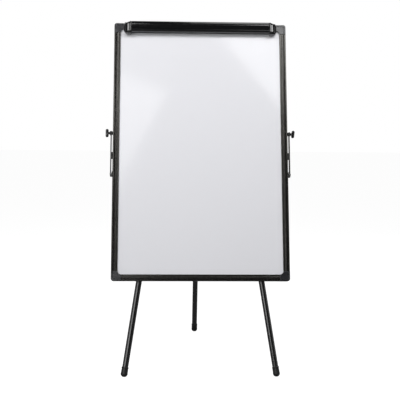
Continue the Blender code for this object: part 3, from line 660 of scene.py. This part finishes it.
def make_caps():
    """Moulded corners with the groove that carries on from the rails."""
    outer = arc((CAP_ROUND, CAP_ROUND), CAP_ROUND, 270, 180, 14)
    inner = arc((CAP_LEG, CAP_LEG), CAP_LEG - RAIL_FACE, 180, 270, 16)
    outline = [*outer, (0, CAP_LEG), *inner, (CAP_LEG, 0)]
    for level, z_flip, base in LEVELS:
        for side, x_flip in SIDES:
            shell = prism(outline, "Y", -CAP_PROUD, CAP_BACK)
            bevel_where(shell, lambda co: co.y < 0, 0.0012, 5)
            groove = swept_wire(groove_line(), GROOVE_CUT, 4)
            pocket = block((SLOT_WALL, 0.06), (SLOT_FRONT, SLOT_BACK), (SLOT_WALL, 0.06))
            shell = cut(shell, groove, pocket)
            for a, b in CAP_SCREWS:
                dimple = rod(0.0031, 0, 0.003, 32, "Y")
                shell = cut(shell, moved(dimple, (a, CAP_BACK - SCREW_SEAT, b)))
            if x_flip > 0:
                mirrored(shell, "X")
            if z_flip < 0:
                mirrored(shell, "Z")
            moved(shell, (x_flip * HALF_W, 0, base))
            node = f"corner_cap_{level}_{side}"
            board_piece(f"{node}_moulding", shell, node, "grey_black_plastic", 0.0002, 2)
            for number, (a, b) in enumerate(CAP_SCREWS, 1):
                place = (x_flip * (HALF_W - a), CAP_BACK - SCREW_SEAT, base + z_flip * b)
                make_cap_screw(f"cap_screw_{level}_{side}_{number}", place)


def cross_cut(head, arm, floor):
    """Cuts the cross recess into a screw head that points up Z."""
    half = 0.0003
    for x, y in ((arm, half), (half, arm)):
        head = cut(head, block((-x, x), (-y, y), (floor, 0.003)))
    return head


def make_cap_screw(name, place):
    """Cross-head screw in a dimple on the back of a cap."""
    head = lathe([(0, 0), (0.0027, 0), (0.0027, 0.0004), (0.0020, 0.0012), (0, 0.0015)], 32)
    head = laid(cross_cut(head, 0.0016, 0.0007), "Y")
    board_piece(name, moved(head, place), None, "zinc_steel", 0.00008, 2)


# ---- pad clamp ----
def clamp_path():
    """Outer line of the clamp bar: distance in front of its hinge axis, height above it."""
    brow = arc((0.0086, 0.0078), 0.0010, 90, 0, 8)
    ledge = arc((-0.0029, -0.0147), 0.0215, 52, 36, 8)
    belly = arc((0.0088, -0.0217), 0.0076, -6, -90, 20)
    return [
        (0, 0.0088),
        *brow,
        (0.0097, 0.0030),
        *ledge,
        (0.0162, -0.0031),
        (0.0172, -0.0041),
        (0.0175, -0.0056),
        (0.0157, -0.0134),
        (0.0152, -0.0150),
        (0.0146, -0.0158),
        (0.0151, -0.0168),
        (0.0160, -0.0188),
        *belly,
        (0.0020, -0.0293),
        (0, -0.0280),
        (0, -0.0205),
    ]


def make_clamp_bar():
    """Bar with its boss on the hinge axis, and the three rubber lips of its lower edge."""
    outline = [(-forward, height) for forward, height in ribbon(clamp_path(), CLAMP_WALL)]
    shell = prism(outline, "X", -CLAMP_HALF, CLAMP_HALF)
    web = block((-BOSS_HALF, BOSS_HALF), (-CLAMP_WALL, -0.0001), (0.003, 0.008))
    shell = joined(shell, web, rod(BOSS_RADIUS, -BOSS_HALF, BOSS_HALF, 40, "X"))
    for _, flip in SIDES:
        bore = on_side(flip, PIN_INNER - 0.001, BOSS_HALF + 0.005)
        shell = cut(shell, rod(PIN_RADIUS + GAP, *bore, 28, "X"))
    place = BOARD @ Matrix.Translation(CLAMP_AXIS)
    piece("clamp_bar_profile", shell, place, "clamp", "clamp_bar", "gloss_black_plastic", 0.00018, 2)

    back = JAW_FRONT - GAP - CLAMP_AXIS_Y
    low, high = -0.0272, -0.0208
    lip = 0.0009
    lips = [(back - 0.0008, low)]
    for k in range(3):
        start = -0.0268 + 0.0020 * k
        lips += arc((back - lip, start + lip), lip, -90, 90, 8)
    outline = [(GAP, low), *lips, (back - 0.0008, high), (GAP, high)]
    strip = prism(outline, "X", -CLAMP_HALF + 0.004, CLAMP_HALF - 0.004)
    piece("clamp_grip_lips", strip, place, "clamp", "clamp_grip_strip", "black_rubber", 0.0001, 2)


def make_base_rail():
    """Fixed jaw on the frame's top edge, with the groove the pad hooks slide in and five screws."""
    back = -CAP_PROUD
    corners = [(JAW_FRONT, JAW_BOTTOM), (JAW_FRONT, JAW_TOP), (JAW_BACK, JAW_TOP)]
    foot = BOARD_H + GAP
    outline = [*rounded(corners, 0.0016, 6), (JAW_BACK, foot), (back, foot), (back, JAW_BOTTOM)]
    rail = prism(outline, "X", -JAW_HALF, JAW_HALF)
    groove_z = (HOOK_Z - 0.0026, HOOK_Z + 0.0026)
    rail = cut(rail, block((-0.232, 0.232), (JAW_FRONT - 0.01, JAW_FRONT + 0.0012), groove_z))
    board_piece("clamp_base_rail_bent", rail, "clamp_base_rail", "black_paint", 0.00015, 2)
    spacing = 0.110
    for number in range(5):
        head = lathe([(0, 0), (0.0034, 0), (0.0033, 0.0007), (0.0024, 0.0015), (0, 0.0018)], 36)
        head = cross_cut(head, 0.0020, 0.0009)
        moved(head, (spacing * (number - 2), 0.0072, JAW_TOP))
        board_piece(f"base_rail_screw_{number + 1}", head, None, "zinc_steel", 0.00008, 2)


def make_hooks():
    """Sliding pegs: a plate in front of the jaw, a tongue in its groove and a peg with a domed tip."""
    front = JAW_FRONT - GAP
    tip = [(r, -0.0096 - z) for r, z in arc((0, 0), 0.0030, 0, 90, 10)]
    tip[-1] = (0, tip[-1][1])
    for side, flip in SIDES:
        plate = block((-0.011, 0.011), (front - 0.0016, front), (-0.0042, 0.0042))
        tongue = block((-0.009, 0.009), (front - 0.001, front + 0.0012), (-0.0022, 0.0022))
        peg = lathe([(0, 0), (0.0042, 0), (0.0034, -0.0016), (0.0030, -0.0030), *tip], 40, "Y")
        hook = joined(plate, tongue, moved(peg, (0, front - 0.001, 0)))
        moved(hook, (flip * HOOK_X, 0, HOOK_Z))
        node = f"pad_hook_{side}"
        piece(f"{node}_moulding", hook, BOARD, node, node, "gloss_black_plastic", 0.0003, 3)


def cheek_rings():
    """Steps from the bar outwards: distance along the bar, then scale of the cheek's outline."""
    edge = 0.955
    dome_start = 0.0052
    dome_reach = 0.0206
    steps = 16
    rings = [(0, edge), (0.0006, 0.985), (0.0018, 1.0), (0.0034, 1.0), (0.0046, 0.985), (dome_start, edge)]
    for step in range(1, steps + 1):
        angle = math.pi / 2 * step / steps
        taper = 0.16 + 0.84 * math.cos(angle) ** 0.9
        rings.append((dome_start + dome_reach * math.sin(angle), edge * taper))
    return rings


def make_cheeks():
    """End cheeks: a rolled ring next to the bar and a dome that bulges outwards and sags a little."""
    half = 0.0220
    front = -0.0280
    back = JAW_FRONT - GAP
    middle = BOARD_H - 0.0204
    outline = rounded([(back, half), (front, half), (front, -half), (back, -half)], 0.0105, 10)
    for side, flip in SIDES:
        bm = bmesh.new()
        rings = []
        for along, scale in cheek_rings():
            x = flip * (CLAMP_HALF + GAP + along)
            centre = middle - 0.15 * along
            points = [(x, back + (y - back) * scale, centre + z * scale) for y, z in outline]
            rings.append([bm.verts.new(point) for point in points])
        bore = moved(rod(PIN_RADIUS + GAP, *on_side(flip, 0.230, PIN_OUTER + GAP), 28, "X"), CLAMP_AXIS)
        node = f"clamp_cheek_{side}"
        cheek = cut(skin(bm, rings), bore)
        board_piece(f"{node}_moulding", cheek, node, "gloss_black_plastic", 0.0002, 2)


def make_clamp_pins():
    for side, flip in SIDES:
        pin = rod(PIN_RADIUS, *on_side(flip, PIN_INNER, PIN_OUTER), 32, "X", 0.0003)
        node = f"clamp_pivot_pin_{side}"
        board_piece(f"{node}_turned", moved(pin, CLAMP_AXIS), node, "zinc_steel", 0)


def make_clamp_springs():
    """Torsion springs: an arm on the bar, four turns round the pin and an arm on the jaw."""
    coil = 0.0036
    turns = 4
    per_turn = 32
    pitch = 0.0022
    for side, flip in SIDES:
        start = flip * 0.2190
        path = [(start, 0.0052, -0.0120), (start, coil + 0.0004, -0.0060)]
        for k in range(turns * per_turn + 1):
            angle = 2 * math.pi * k / per_turn
            x = start + flip * pitch * (k / per_turn + 0.3)
            path.append((x, coil * math.cos(angle), coil * math.sin(angle)))
        end = path[-1][0] + flip * pitch * 0.5
        path += [(end, coil - 0.001, 0.0040), (end, 0.0005, 0.0052), (end, -0.0110, 0.0046)]
        spring = moved(swept_wire(path, 0.0005, 12), CLAMP_AXIS)
        node = f"clamp_spring_{side}"
        board_piece(f"{node}_wire", spring, node, "zinc_steel", 0)


# ---- head ----
def make_head():
    """Channel across the board's back with the front leg pivots, and the rear leg's fork behind it."""
    low = PIVOT_Z - 0.026
    high = PIVOT_Z + 0.025
    corners = [(HEAD_FRONT, low), (HEAD_FRONT, high), (HEAD_BACK, high), (HEAD_BACK, low)]
    channel = prism(ribbon(rounded(corners, 0.0035, 7), HEAD_WALL), "X", -HEAD_HALF, HEAD_HALF)
    slot_ends = arc((0, 0), 0.0030, 90, 270, 12) + arc((0.010, 0), 0.0030, -90, 90, 12)
    for _, flip in SIDES:
        hole = rod(BOLT_RADIUS + GAP, HEAD_FRONT - 0.01, HEAD_BACK + 0.01, 40, "Y")
        channel = cut(channel, moved(hole, (flip * LEG_SPREAD, 0, PIVOT_Z)))
        slot = prism(slot_ends, "Y", HEAD_BACK - 0.01, HEAD_BACK + 0.01)
        channel = cut(channel, moved(slot, (flip * 0.045 - 0.005, 0, PIVOT_Z - 0.012)))
    board_piece("head_channel_pressing", channel, "head_channel", "black_paint", 0.0004, 3)

    base = HEAD_BACK + GAP
    tip = REAR_PIVOT_Y + 0.013
    path = rounded([(FORK_HALF, tip), (FORK_HALF, base), (-FORK_HALF, base), (-FORK_HALF, tip)], 0.0028, 6)
    bracket = prism(ribbon(path, HEAD_WALL), "Z", PIVOT_Z - 0.016, PIVOT_Z + 0.022)
    hole = moved(rod(BOLT_RADIUS + GAP, -0.04, 0.04, 40, "X"), (0, REAR_PIVOT_Y, PIVOT_Z))
    bracket = cut(bracket, hole)
    board_piece("rear_hinge_bracket_pressing", bracket, "rear_hinge_bracket", "black_paint", 0.0005, 3)


def hex_head(low, axis):
    """Hexagon with its corners turned off by a cone, standing on a face at the given level."""
    corner = 0.0075
    tall = 0.005
    wide = corner + 0.001
    profile = [(0, -0.001), (wide, -0.001), (wide, tall * 0.72), (corner * 0.82, tall), (0, tall)]
    head = combined(rod(corner, 0, tall, 6), lathe(profile, 48), "INTERSECT")
    return laid(moved(head, (0, 0, low)), axis)


def make_bolts():
    """Pivot bolts: one head on each front bolt, and a head at both ends of the rear one."""
    seat = HEAD_BACK + GAP
    for side, flip in SIDES:
        shank = rod(BOLT_RADIUS, HEAD_FRONT + GAP, seat + 0.001, 40, "Y")
        bolt = moved(joined(shank, hex_head(seat, "Y")), (flip * LEG_SPREAD, 0, PIVOT_Z))
        node = f"front_pivot_bolt_{side}"
        board_piece(f"{node}_turned", bolt, node, "zinc_steel", 0.00015, 2)
    seat = FORK_HALF + GAP
    shank = rod(BOLT_RADIUS, -seat - 0.001, seat + 0.001, 40, "X")
    bolt = joined(shank, hex_head(seat, "X"), turned(hex_head(seat, "X"), 180, "Z"))
    moved(bolt, (0, REAR_PIVOT_Y, PIVOT_Z))
    board_piece("rear_pivot_bolt_turned", bolt, "rear_pivot_bolt", "zinc_steel", 0.00015, 2)


# ---- legs ----
def make_knuckle(leg):
    """Moulded eye on the leg's pivot, with a plug down the upper tube."""
    pin_axis = "X" if leg == "rear_leg" else "Y"
    crown = arc((0, 0), EYE_RADIUS, 180, 0, 36)
    outline = [(-EYE_RADIUS, -NECK), *crown, (EYE_RADIUS, -NECK)]
    eye = prism(outline, pin_axis, -EYE_HALF, EYE_HALF)
    plug = rod(UPPER_RADIUS - TUBE_WALL - GAP, -NECK - PLUG, -NECK + 0.002, 48)
    eye = joined(eye, plug)
    eye = cut(eye, rod(BOLT_RADIUS + GAP, -0.04, 0.04, 40, pin_axis))
    node = f"{leg}_knuckle"
    piece(f"{node}_moulding", eye, LEG[leg], f"{leg}_upper", node, "black_plastic", 0.0009, 4)


def make_tube(leg, which, radius, start, end):
    """Tube between two distances down the leg, with its ends' edges taken off."""
    inner = radius - TUBE_WALL
    lip = 0.0003
    profile = [
        (inner, -start - lip),
        (inner + lip, -start),
        (radius - lip, -start),
        (radius, -start - lip),
        (radius, -end + lip),
        (radius - lip, -end),
        (inner + lip, -end),
        (inner, -end + lip),
    ]
    node = f"{leg}_{which}_tube"
    piece(f"{node}_drawn", lathe(profile, 72), LEG[leg], f"{leg}_{which}", node, "black_coated_tube", 0)


def make_collar(leg):
    """Split collar on the upper tube's end, with two ears that hold the lever."""
    over = UPPER_RADIUS + GAP
    under = LOWER_RADIUS + GAP
    step = UPPER_END + GAP
    profile = [
        (over, -COLLAR_START),
        (COLLAR_RADIUS - 0.0015, -COLLAR_START),
        (COLLAR_RADIUS, -COLLAR_START - 0.0015),
        (COLLAR_RADIUS, -COLLAR_START - 0.0060),
        (COLLAR_RADIUS - 0.0006, -COLLAR_START - 0.0068),
        (COLLAR_RADIUS - 0.0006, -COLLAR_END + 0.0130),
        (COLLAR_RADIUS, -COLLAR_END + 0.0122),
        (COLLAR_RADIUS, -COLLAR_END + 0.0060),
        (COLLAR_RADIUS - 0.0030, -COLLAR_END),
        (under, -COLLAR_END),
        (under, -step),
        (over, -step),
    ]
    collar = lathe(profile, 72)
    ear_y = (COLLAR_RADIUS - 0.0026, LEVER_PIVOT + 0.0045)
    ear_z = (COLLAR_MIDDLE - 0.0070, COLLAR_MIDDLE + 0.0070)
    for _, flip in SIDES:
        ear = block(on_side(flip, 0.0052, 0.0084), ear_y, ear_z)
        bevel_where(ear, lambda co: co.y > COLLAR_RADIUS, 0.0001, 1)
        collar = joined(collar, ear)
    hole = moved(rod(LEVER_PIN + GAP, -0.02, 0.02, 28, "X"), (0, LEVER_PIVOT, COLLAR_MIDDLE))
    split = block((-0.0007, 0.0007), (0.012, 0.03), (-COLLAR_END - 0.01, -COLLAR_START - 0.008))
    collar = cut(collar, hole, split)
    node = f"{leg}_collar"
    piece(f"{node}_moulding", collar, LEG[leg], f"{leg}_upper", node, "black_plastic", 0.0004, 3)


def make_lever(leg):
    """Cam lever that lies down the collar, with four grip slots near its end."""
    cam = arc((0, 0), 0.0050, -200, -20, 24)
    back = spline([(0.0050, 0.003), (0.0052, 0.020), (0.0047, 0.036), (0.0036, LEVER_LENGTH)], 6)
    front = spline([(0.0010, LEVER_LENGTH), (0.0022, 0.034), (0.0016, 0.018), (-0.0012, 0.008)], 6)
    lever = prism([*cam, *back, *front], "X", -0.0049, 0.0049)
    for number in range(4):
        z = 0.028 + 0.0042 * number
        lever = cut(lever, block((-0.0036, 0.0036), (0.0044, 0.009), (z, z + 0.0016)))
    lever = joined(lever, rod(LEVER_PIN, -0.0084, 0.0084, 32, "X", 0.0003))
    place = LEG[leg] @ Matrix.Translation((0, LEVER_PIVOT, COLLAR_MIDDLE))
    node = f"{leg}_lever"
    piece(f"{node}_moulding", lever, place, f"{leg}_latch", node, "gloss_black_plastic", 0.0003, 3)


def make_foot(leg):
    """Domed rubber foot with a rolled mouth, grip rings and a flat tread on the floor."""
    place = LEG[leg]
    down = -(place.to_3x3() @ Vector((0, 0, 1)))
    length = -place.translation.z / down.z
    centre = length - (FOOT_RADIUS - FOOT_FLAT_CUT) / -down.z
    bore = LOWER_RADIUS + GAP
    bore_end = centre - FOOT_FLOOR
    mouth = centre - (FOOT_LENGTH - FOOT_RADIUS)
    waist = FOOT_RADIUS - 0.0008
    ring = waist + 0.0004
    rings = []
    for number in range(3):
        z = -mouth - 0.0085 - 0.0034 * number
        rings += [(waist, z), (ring, z - 0.0004), (ring, z - 0.0016), (waist, z - 0.0020)]
    dome = [(r, -centre + z) for r, z in arc((0, 0), FOOT_RADIUS, 0, -90, 28)]
    dome[-1] = (0, dome[-1][1])
    lip = arc((FOOT_RADIUS - 0.0010, -mouth - 0.0010), 0.0010, 90, 0, 6)
    profile = [
        (0, -bore_end),
        (bore, -bore_end),
        (bore, -mouth),
        *lip,
        (FOOT_RADIUS, -mouth - 0.0034),
        (waist, -mouth - 0.0044),
        *rings,
        *dome,
    ]
    foot = lathe(profile, 72)
    to_leg = place.inverted()
    floor = to_leg @ Vector((place.translation.x, place.translation.y, 0))
    outward = -(to_leg.to_3x3() @ Vector((0, 0, 1))).normalized()
    whole = foot.verts[:] + foot.edges[:] + foot.faces[:]
    sliced = bmesh.ops.bisect_plane(foot, geom=whole, plane_co=floor, plane_no=outward, clear_outer=True)
    rim = [e for e in sliced["geom_cut"] if isinstance(e, bmesh.types.BMEdge)]
    bmesh.ops.contextual_create(foot, geom=rim)
    node = f"{leg}_foot"
    piece(f"{node}_moulding", foot, place, f"{leg}_lower", node, "black_rubber", 0)
    return bore_end


def make_legs():
    for leg in LEGS:
        make_knuckle(leg)
        make_tube(leg, "upper", UPPER_RADIUS, NECK + GAP, UPPER_END)
        make_collar(leg)
        make_lever(leg)
        end = make_foot(leg) - GAP
        make_tube(leg, "lower", LOWER_RADIUS, end - LOWER_LENGTH, end)


def make_leg_rests():
    """Rubber pads between the lower rail and the front legs, with three shallow grooves each."""
    back = LEG_PLANE_Y - LOWER_RADIUS - GAP
    z = RAIL_FACE / 2
    for side, flip in SIDES:
        x = flip * (LEG_SPREAD + LEG_SLOPE * (PIVOT_Z - z))
        pad = block((x - 0.012, x + 0.012), (RAIL_DEPTH + GAP, back), (z - 0.007, z + 0.007))
        for level in (z - 0.0036, z, z + 0.0036):
            groove_z = (level - 0.0004, level + 0.0004)
            pad = cut(pad, block((x - 0.02, x + 0.02), (back - 0.0007, back + 0.01), groove_z))
        node = f"leg_rest_{side}"
        board_piece(f"{node}_moulding", pad, node, "black_rubber", 0.0005, 3)


# ---- side arms ----
def hinge_bore(flip):
    """Cutter for the hinge pin of a side arm."""
    return moved(rod(HINGE_PIN + GAP, -0.01, 0.03, 24, "Y"), (flip * ARM_AXIS_X, 0, ARM_HINGE_Z))


def make_arm_bracket(side, flip):
    """Bracket with two lugs, and the pin that they hold."""
    foot = ARM_HINGE_Z - 0.0078
    bracket = block(on_side(flip, ARM_WALL, ARM_WALL + 0.0015), LUGS_Y, (foot, ARM_HINGE_Z + 0.0090))
    ledge = block(on_side(flip, ARM_WALL, ARM_OUTER), LUGS_Y, (foot, ARM_HINGE_Z - 0.0030))
    bracket = joined(bracket, ledge)
    lug_z = (ARM_HINGE_Z - 0.0040, ARM_HINGE_Z + 0.0036)
    for low in (LUGS_Y[0], LUGS_Y[1] - LUG_DEPTH):
        lug = block(on_side(flip, ARM_WALL, ARM_AXIS_X + 0.0028), (low, low + LUG_DEPTH), lug_z)
        bracket = joined(bracket, lug)
    bracket = cut(bracket, hinge_bore(flip))
    node = f"arm_bracket_{side}"
    board_piece(f"{node}_moulding", bracket, node, "black_plastic", 0.0004, 3)

    pin = moved(rod(HINGE_PIN, *LUGS_Y, 24, "Y", 0.0002), (flip * ARM_AXIS_X, 0, ARM_HINGE_Z))
    node = f"arm_hinge_pin_{side}"
    board_piece(f"{node}_turned", pin, node, "zinc_steel", 0)


def make_arm_strip(side, flip):
    """Flat arm with a round upper end, a shallow slot in its outer face and a barrel on its pin."""
    eye = (LUGS_Y[0] + LUG_DEPTH + GAP, LUGS_Y[1] - LUG_DEPTH - GAP)
    top = arc((ARM_MID_Y, ARM_LOCK_Z), (ARM_BACK - ARM_FRONT) / 2, 180, 0, 28)
    shoulder = ARM_HINGE_Z + 0.0050
    outline = [
        (eye[0], ARM_HINGE_Z),
        (eye[0], shoulder),
        (ARM_FRONT, shoulder + 0.0016),
        *top,
        (ARM_BACK, shoulder + 0.0016),
        (eye[1], shoulder),
        (eye[1], ARM_HINGE_Z),
    ]
    arm = prism(outline, "X", *on_side(flip, ARM_INNER, ARM_OUTER))
    barrel = moved(rod(0.0022, *eye, 32, "Y"), (flip * ARM_AXIS_X, 0, ARM_HINGE_Z))
    bore = rod(SHANK_RADIUS + GAP, *on_side(flip, 0.2, 0.4), 32, "X")
    slot_y = (ARM_MID_Y - 0.0012, ARM_MID_Y + 0.0012)
    slot_z = (shoulder + 0.012, ARM_LOCK_Z - 0.016)
    slot = block(on_side(flip, ARM_OUTER - 0.0004, ARM_OUTER + 0.01), slot_y, slot_z)
    arm = cut(joined(arm, barrel), hinge_bore(flip), moved(bore, (0, ARM_MID_Y, ARM_LOCK_Z)), slot)
    body = f"side_arm_{side}"
    piece(f"{body}_strip", arm, BOARD, body, body, "black_paint", 0.0004, 3)


def make_arm_stops(side, flip):
    """Rubber block under the middle of the arm, and the boss under its screw."""
    face = ARM_INNER - GAP
    depth = (ARM_FRONT + 0.001, ARM_BACK - 0.001)
    rest = block(on_side(flip, ARM_WALL, face), depth, (REST_Z - 0.011, REST_Z + 0.011))
    node = f"arm_rest_block_{side}"
    board_piece(f"{node}_moulding", rest, node, "black_rubber", 0.0006, 4)

    bore = SHANK_RADIUS + GAP
    ring = [
        (bore, ARM_WALL),
        (0.0058, ARM_WALL),
        (0.0062, ARM_WALL + 0.0004),
        (0.0062, face - 0.0005),
        (0.0057, face),
        (bore, face),
    ]
    boss = lathe([(r, flip * x) for r, x in ring], 48, "X")
    node = f"arm_lock_boss_{side}"
    board_piece(f"{node}_turned", moved(boss, (0, ARM_MID_Y, ARM_LOCK_Z)), node, "black_plastic", 0)


def wing_head(low, high):
    """Round-ended bar along Z with fully rounded edges and a slight waist."""
    lobe = 0.0056
    middle = 0.0145 - lobe
    edge = 0.0045
    steps = 7
    levels = []
    for k in range(steps + 1):
        t = math.radians(90 * k / steps)
        levels.append((edge * (1 - math.sin(t)), edge * (1 - math.cos(t))))
    stack = [(inset, low + depth) for inset, depth in levels]
    stack += [(inset, high - depth) for inset, depth in reversed(levels)]
    bm = bmesh.new()
    rings = []
    for inset, level in stack:
        radius = lobe - inset
        waist = radius - min(0.0018, radius * 0.5)
        outline = [*arc((0, middle), radius, 0, 180, 18), (-waist, 0.002), (-waist, -0.002)]
        outline += [*arc((0, -middle), radius, 180, 360, 18), (waist, -0.002), (waist, 0.002)]
        rings.append([bm.verts.new((level, y, z)) for y, z in outline])
    return skin(bm, rings)


def make_wing_screw(side, flip):
    """Thumb screw: shank, flange, waisted neck and a rounded two-lobed head."""
    face = ARM_OUTER + GAP
    neck = spline([(0.0052, 0.0022), (0.0045, 0.0038), (0.0045, 0.0056), (0.0056, 0.0084)], 6)
    profile = [
        (0, HALF_W + 0.0012),
        (SHANK_RADIUS, HALF_W + 0.0012),
        (SHANK_RADIUS, face),
        (0.0076, face),
        (0.0080, face + 0.0004),
        (0.0080, face + 0.0012),
        (0.0074, face + 0.0017),
        *[(r, face + x) for r, x in neck],
        (0, face + 0.0084),
    ]
    screw = lathe([(r, flip * x) for r, x in profile], 48, "X")
    head = wing_head(*on_side(flip, 0.0070, 0.0171))
    if flip > 0:
        turned(head, RIGHT_SCREW_TURN, "X")
    screw = joined(screw, moved(head, (flip * face, 0, 0)))
    place = BOARD @ Matrix.Translation((0, ARM_MID_Y, ARM_LOCK_Z))
    body = f"wing_screw_{side}"
    piece(f"{body}_moulding", screw, place, body, body, "gloss_black_plastic", 0.0002, 2)


# ---- studio ----
def by_camera_ray(tree, lighting, seen, socket):
    """Feeds a socket one value for the camera's own rays and another for all rays that light things."""
    direct = tree.nodes.new("ShaderNodeLightPath")
    mix = tree.nodes.new("ShaderNodeMix")
    mix.inputs["A"].default_value = lighting
    mix.inputs["B"].default_value = seen
    tree.links.new(direct.outputs["Is Camera Ray"], mix.inputs["Factor"])
    tree.links.new(mix.outputs["Result"], socket)
    return mix


def make_floor():
    """Pale floor that looks as white as the backdrop but throws less light up at the object."""
    bm = bmesh.new()
    bmesh.ops.create_grid(bm, x_segments=1, y_segments=1, size=30)
    mesh = bpy.data.meshes.new("floor")
    bm.to_mesh(mesh)
    bm.free()
    floor = bpy.data.objects.new("floor", mesh)
    bpy.context.scene.collection.objects.link(floor)
    material = bpy.data.materials.new("pale_floor")
    material.use_nodes = True
    shader = material.node_tree.nodes["Principled BSDF"]
    shader.inputs["Base Color"].default_value = (0.25, 0.25, 0.253, 1)
    shader.inputs["Roughness"].default_value = 0.9
    shader.inputs["Specular IOR Level"].default_value = 0.1
    shader.inputs["Emission Color"].default_value = (1, 1, 1, 1)
    by_camera_ray(material.node_tree, 0.03, 0.96, shader.inputs["Emission Strength"])
    mesh.materials.append(material)


def make_world():
    """White seen directly; what lights and mirrors in the object is dimmer, with a soft gradient."""
    below, above = 0.13, 0.05
    world = bpy.data.worlds.new("studio")
    bpy.context.scene.world = world
    world.use_nodes = True
    tree = world.node_tree
    background = tree.nodes["Background"]
    background.inputs["Color"].default_value = (1, 1, 1, 1)
    coords = tree.nodes.new("ShaderNodeTexCoord")
    split = tree.nodes.new("ShaderNodeSeparateXYZ")
    fade = tree.nodes.new("ShaderNodeMapRange")
    fade.interpolation_type = "SMOOTHSTEP"
    fade.inputs["From Min"].default_value = -0.4
    fade.inputs["From Max"].default_value = 0.6
    fade.inputs["To Min"].default_value = below
    fade.inputs["To Max"].default_value = above
    mix = by_camera_ray(tree, above, 1.0, background.inputs["Strength"])
    tree.links.new(coords.outputs["Generated"], split.inputs["Vector"])
    tree.links.new(split.outputs["Z"], fade.inputs["Value"])
    tree.links.new(fade.outputs["Result"], mix.inputs["A"])


def add_panel(name, size, radiance, place):
    """Rectangular light that sends out the given radiance."""
    data = bpy.data.lights.new(name, "AREA")
    data.shape = "RECTANGLE"
    data.size, data.size_y = size
    data.energy = radiance * math.pi * size[0] * size[1]
    light = bpy.data.objects.new(name, data)
    light.matrix_world = place
    bpy.context.scene.collection.objects.link(light)


def add_softbox(name, place, target, size, radiance):
    """Soft light aimed at a point."""
    aim = (Vector(target) - Vector(place)).to_track_quat("-Z", "Y").to_matrix().to_4x4()
    add_panel(name, size, radiance, Matrix.Translation(place) @ aim)


def add_card(name, x, z, size, degrees, radiance):
    """Reflector card above the camera, upright and facing the board, turned in its own plane."""
    turn = Matrix.Rotation(math.pi / 2, 4, "X") @ Matrix.Rotation(math.radians(degrees), 4, "Z")
    add_panel(name, size, radiance, Matrix.Translation((x, -3.0, z)) @ turn)


def make_lights():
    """Two key lights, the two cards that show as pale shapes on the board, and soft fill and rims."""
    upper = BOARD @ Vector((0, 0, 0.60))
    add_softbox("key_left", (-1.10, -1.5, 2.15), upper, (0.7, 0.7), 10.2)
    add_softbox("key_right", (1.10, -1.5, 2.15), upper, (0.7, 0.7), 10.2)
    add_softbox("wide_left", (-1.42, -2.6, 1.0), (0, 0, 0.6), (1.8, 1.3), 2.9)
    add_card("card_right", 0.779, 3.128, (1.6, 0.8), -54.6, 5.1)
    add_card("card_left", -0.722, 2.283, (0.8, 1.2), -24.6, 3.4)
    add_softbox("side_right", (3.2, -0.4, 1.3), (0, 0, 0.8), (1.2, 2.2), 1.1)
    add_softbox("side_left", (-3.2, -0.4, 1.3), (0, 0, 0.8), (1.2, 2.2), 0.8)
    top = BOARD @ Vector((0, 0, BOARD_H))
    add_softbox("rim_left", (-0.85, 1.3, 3.0), top, (1.2, 0.7), 4.5)
    add_softbox("rim_right", (0.95, 1.3, 3.0), top, (1.2, 0.7), 6.5)
    add_softbox("fill_back", (-0.6, 2.6, 1.8), (0, 0, 0.7), (2.0, 1.6), 1.6)


def make_camera():
    """Stands a little left of the middle at chest height and looks slightly down."""
    place = (-0.1157, -3.1856, 0.8160)
    yaw, pitch, roll = (math.radians(angle) for angle in (2.193, -4.586, 0.451))
    data = bpy.data.cameras.new("camera")
    data.sensor_width = 36
    data.lens = 79.10
    data.clip_end = 200
    camera = bpy.data.objects.new("camera", data)
    turn = Matrix.Rotation(-yaw, 4, "Z") @ Matrix.Rotation(math.pi / 2 + pitch, 4, "X")
    camera.matrix_world = Matrix.Translation(place) @ turn @ Matrix.Rotation(roll, 4, "Z")
    bpy.context.scene.collection.objects.link(camera)
    bpy.context.scene.camera = camera


bpy.context.scene.view_settings.view_transform = "Standard"
make_camera()
make_world()
make_lights()
make_floor()
finish_flat_nodes()
make_rails()
make_caps()
make_base_rail()
make_hooks()
make_cheeks()
make_clamp_pins()
make_clamp_springs()
make_clamp_bar()
make_head()
make_bolts()
make_legs()
make_leg_rests()
for arm_side, arm_flip in SIDES:
    make_arm_bracket(arm_side, arm_flip)
    make_arm_strip(arm_side, arm_flip)
    make_arm_stops(arm_side, arm_flip)
    make_wing_screw(arm_side, arm_flip)
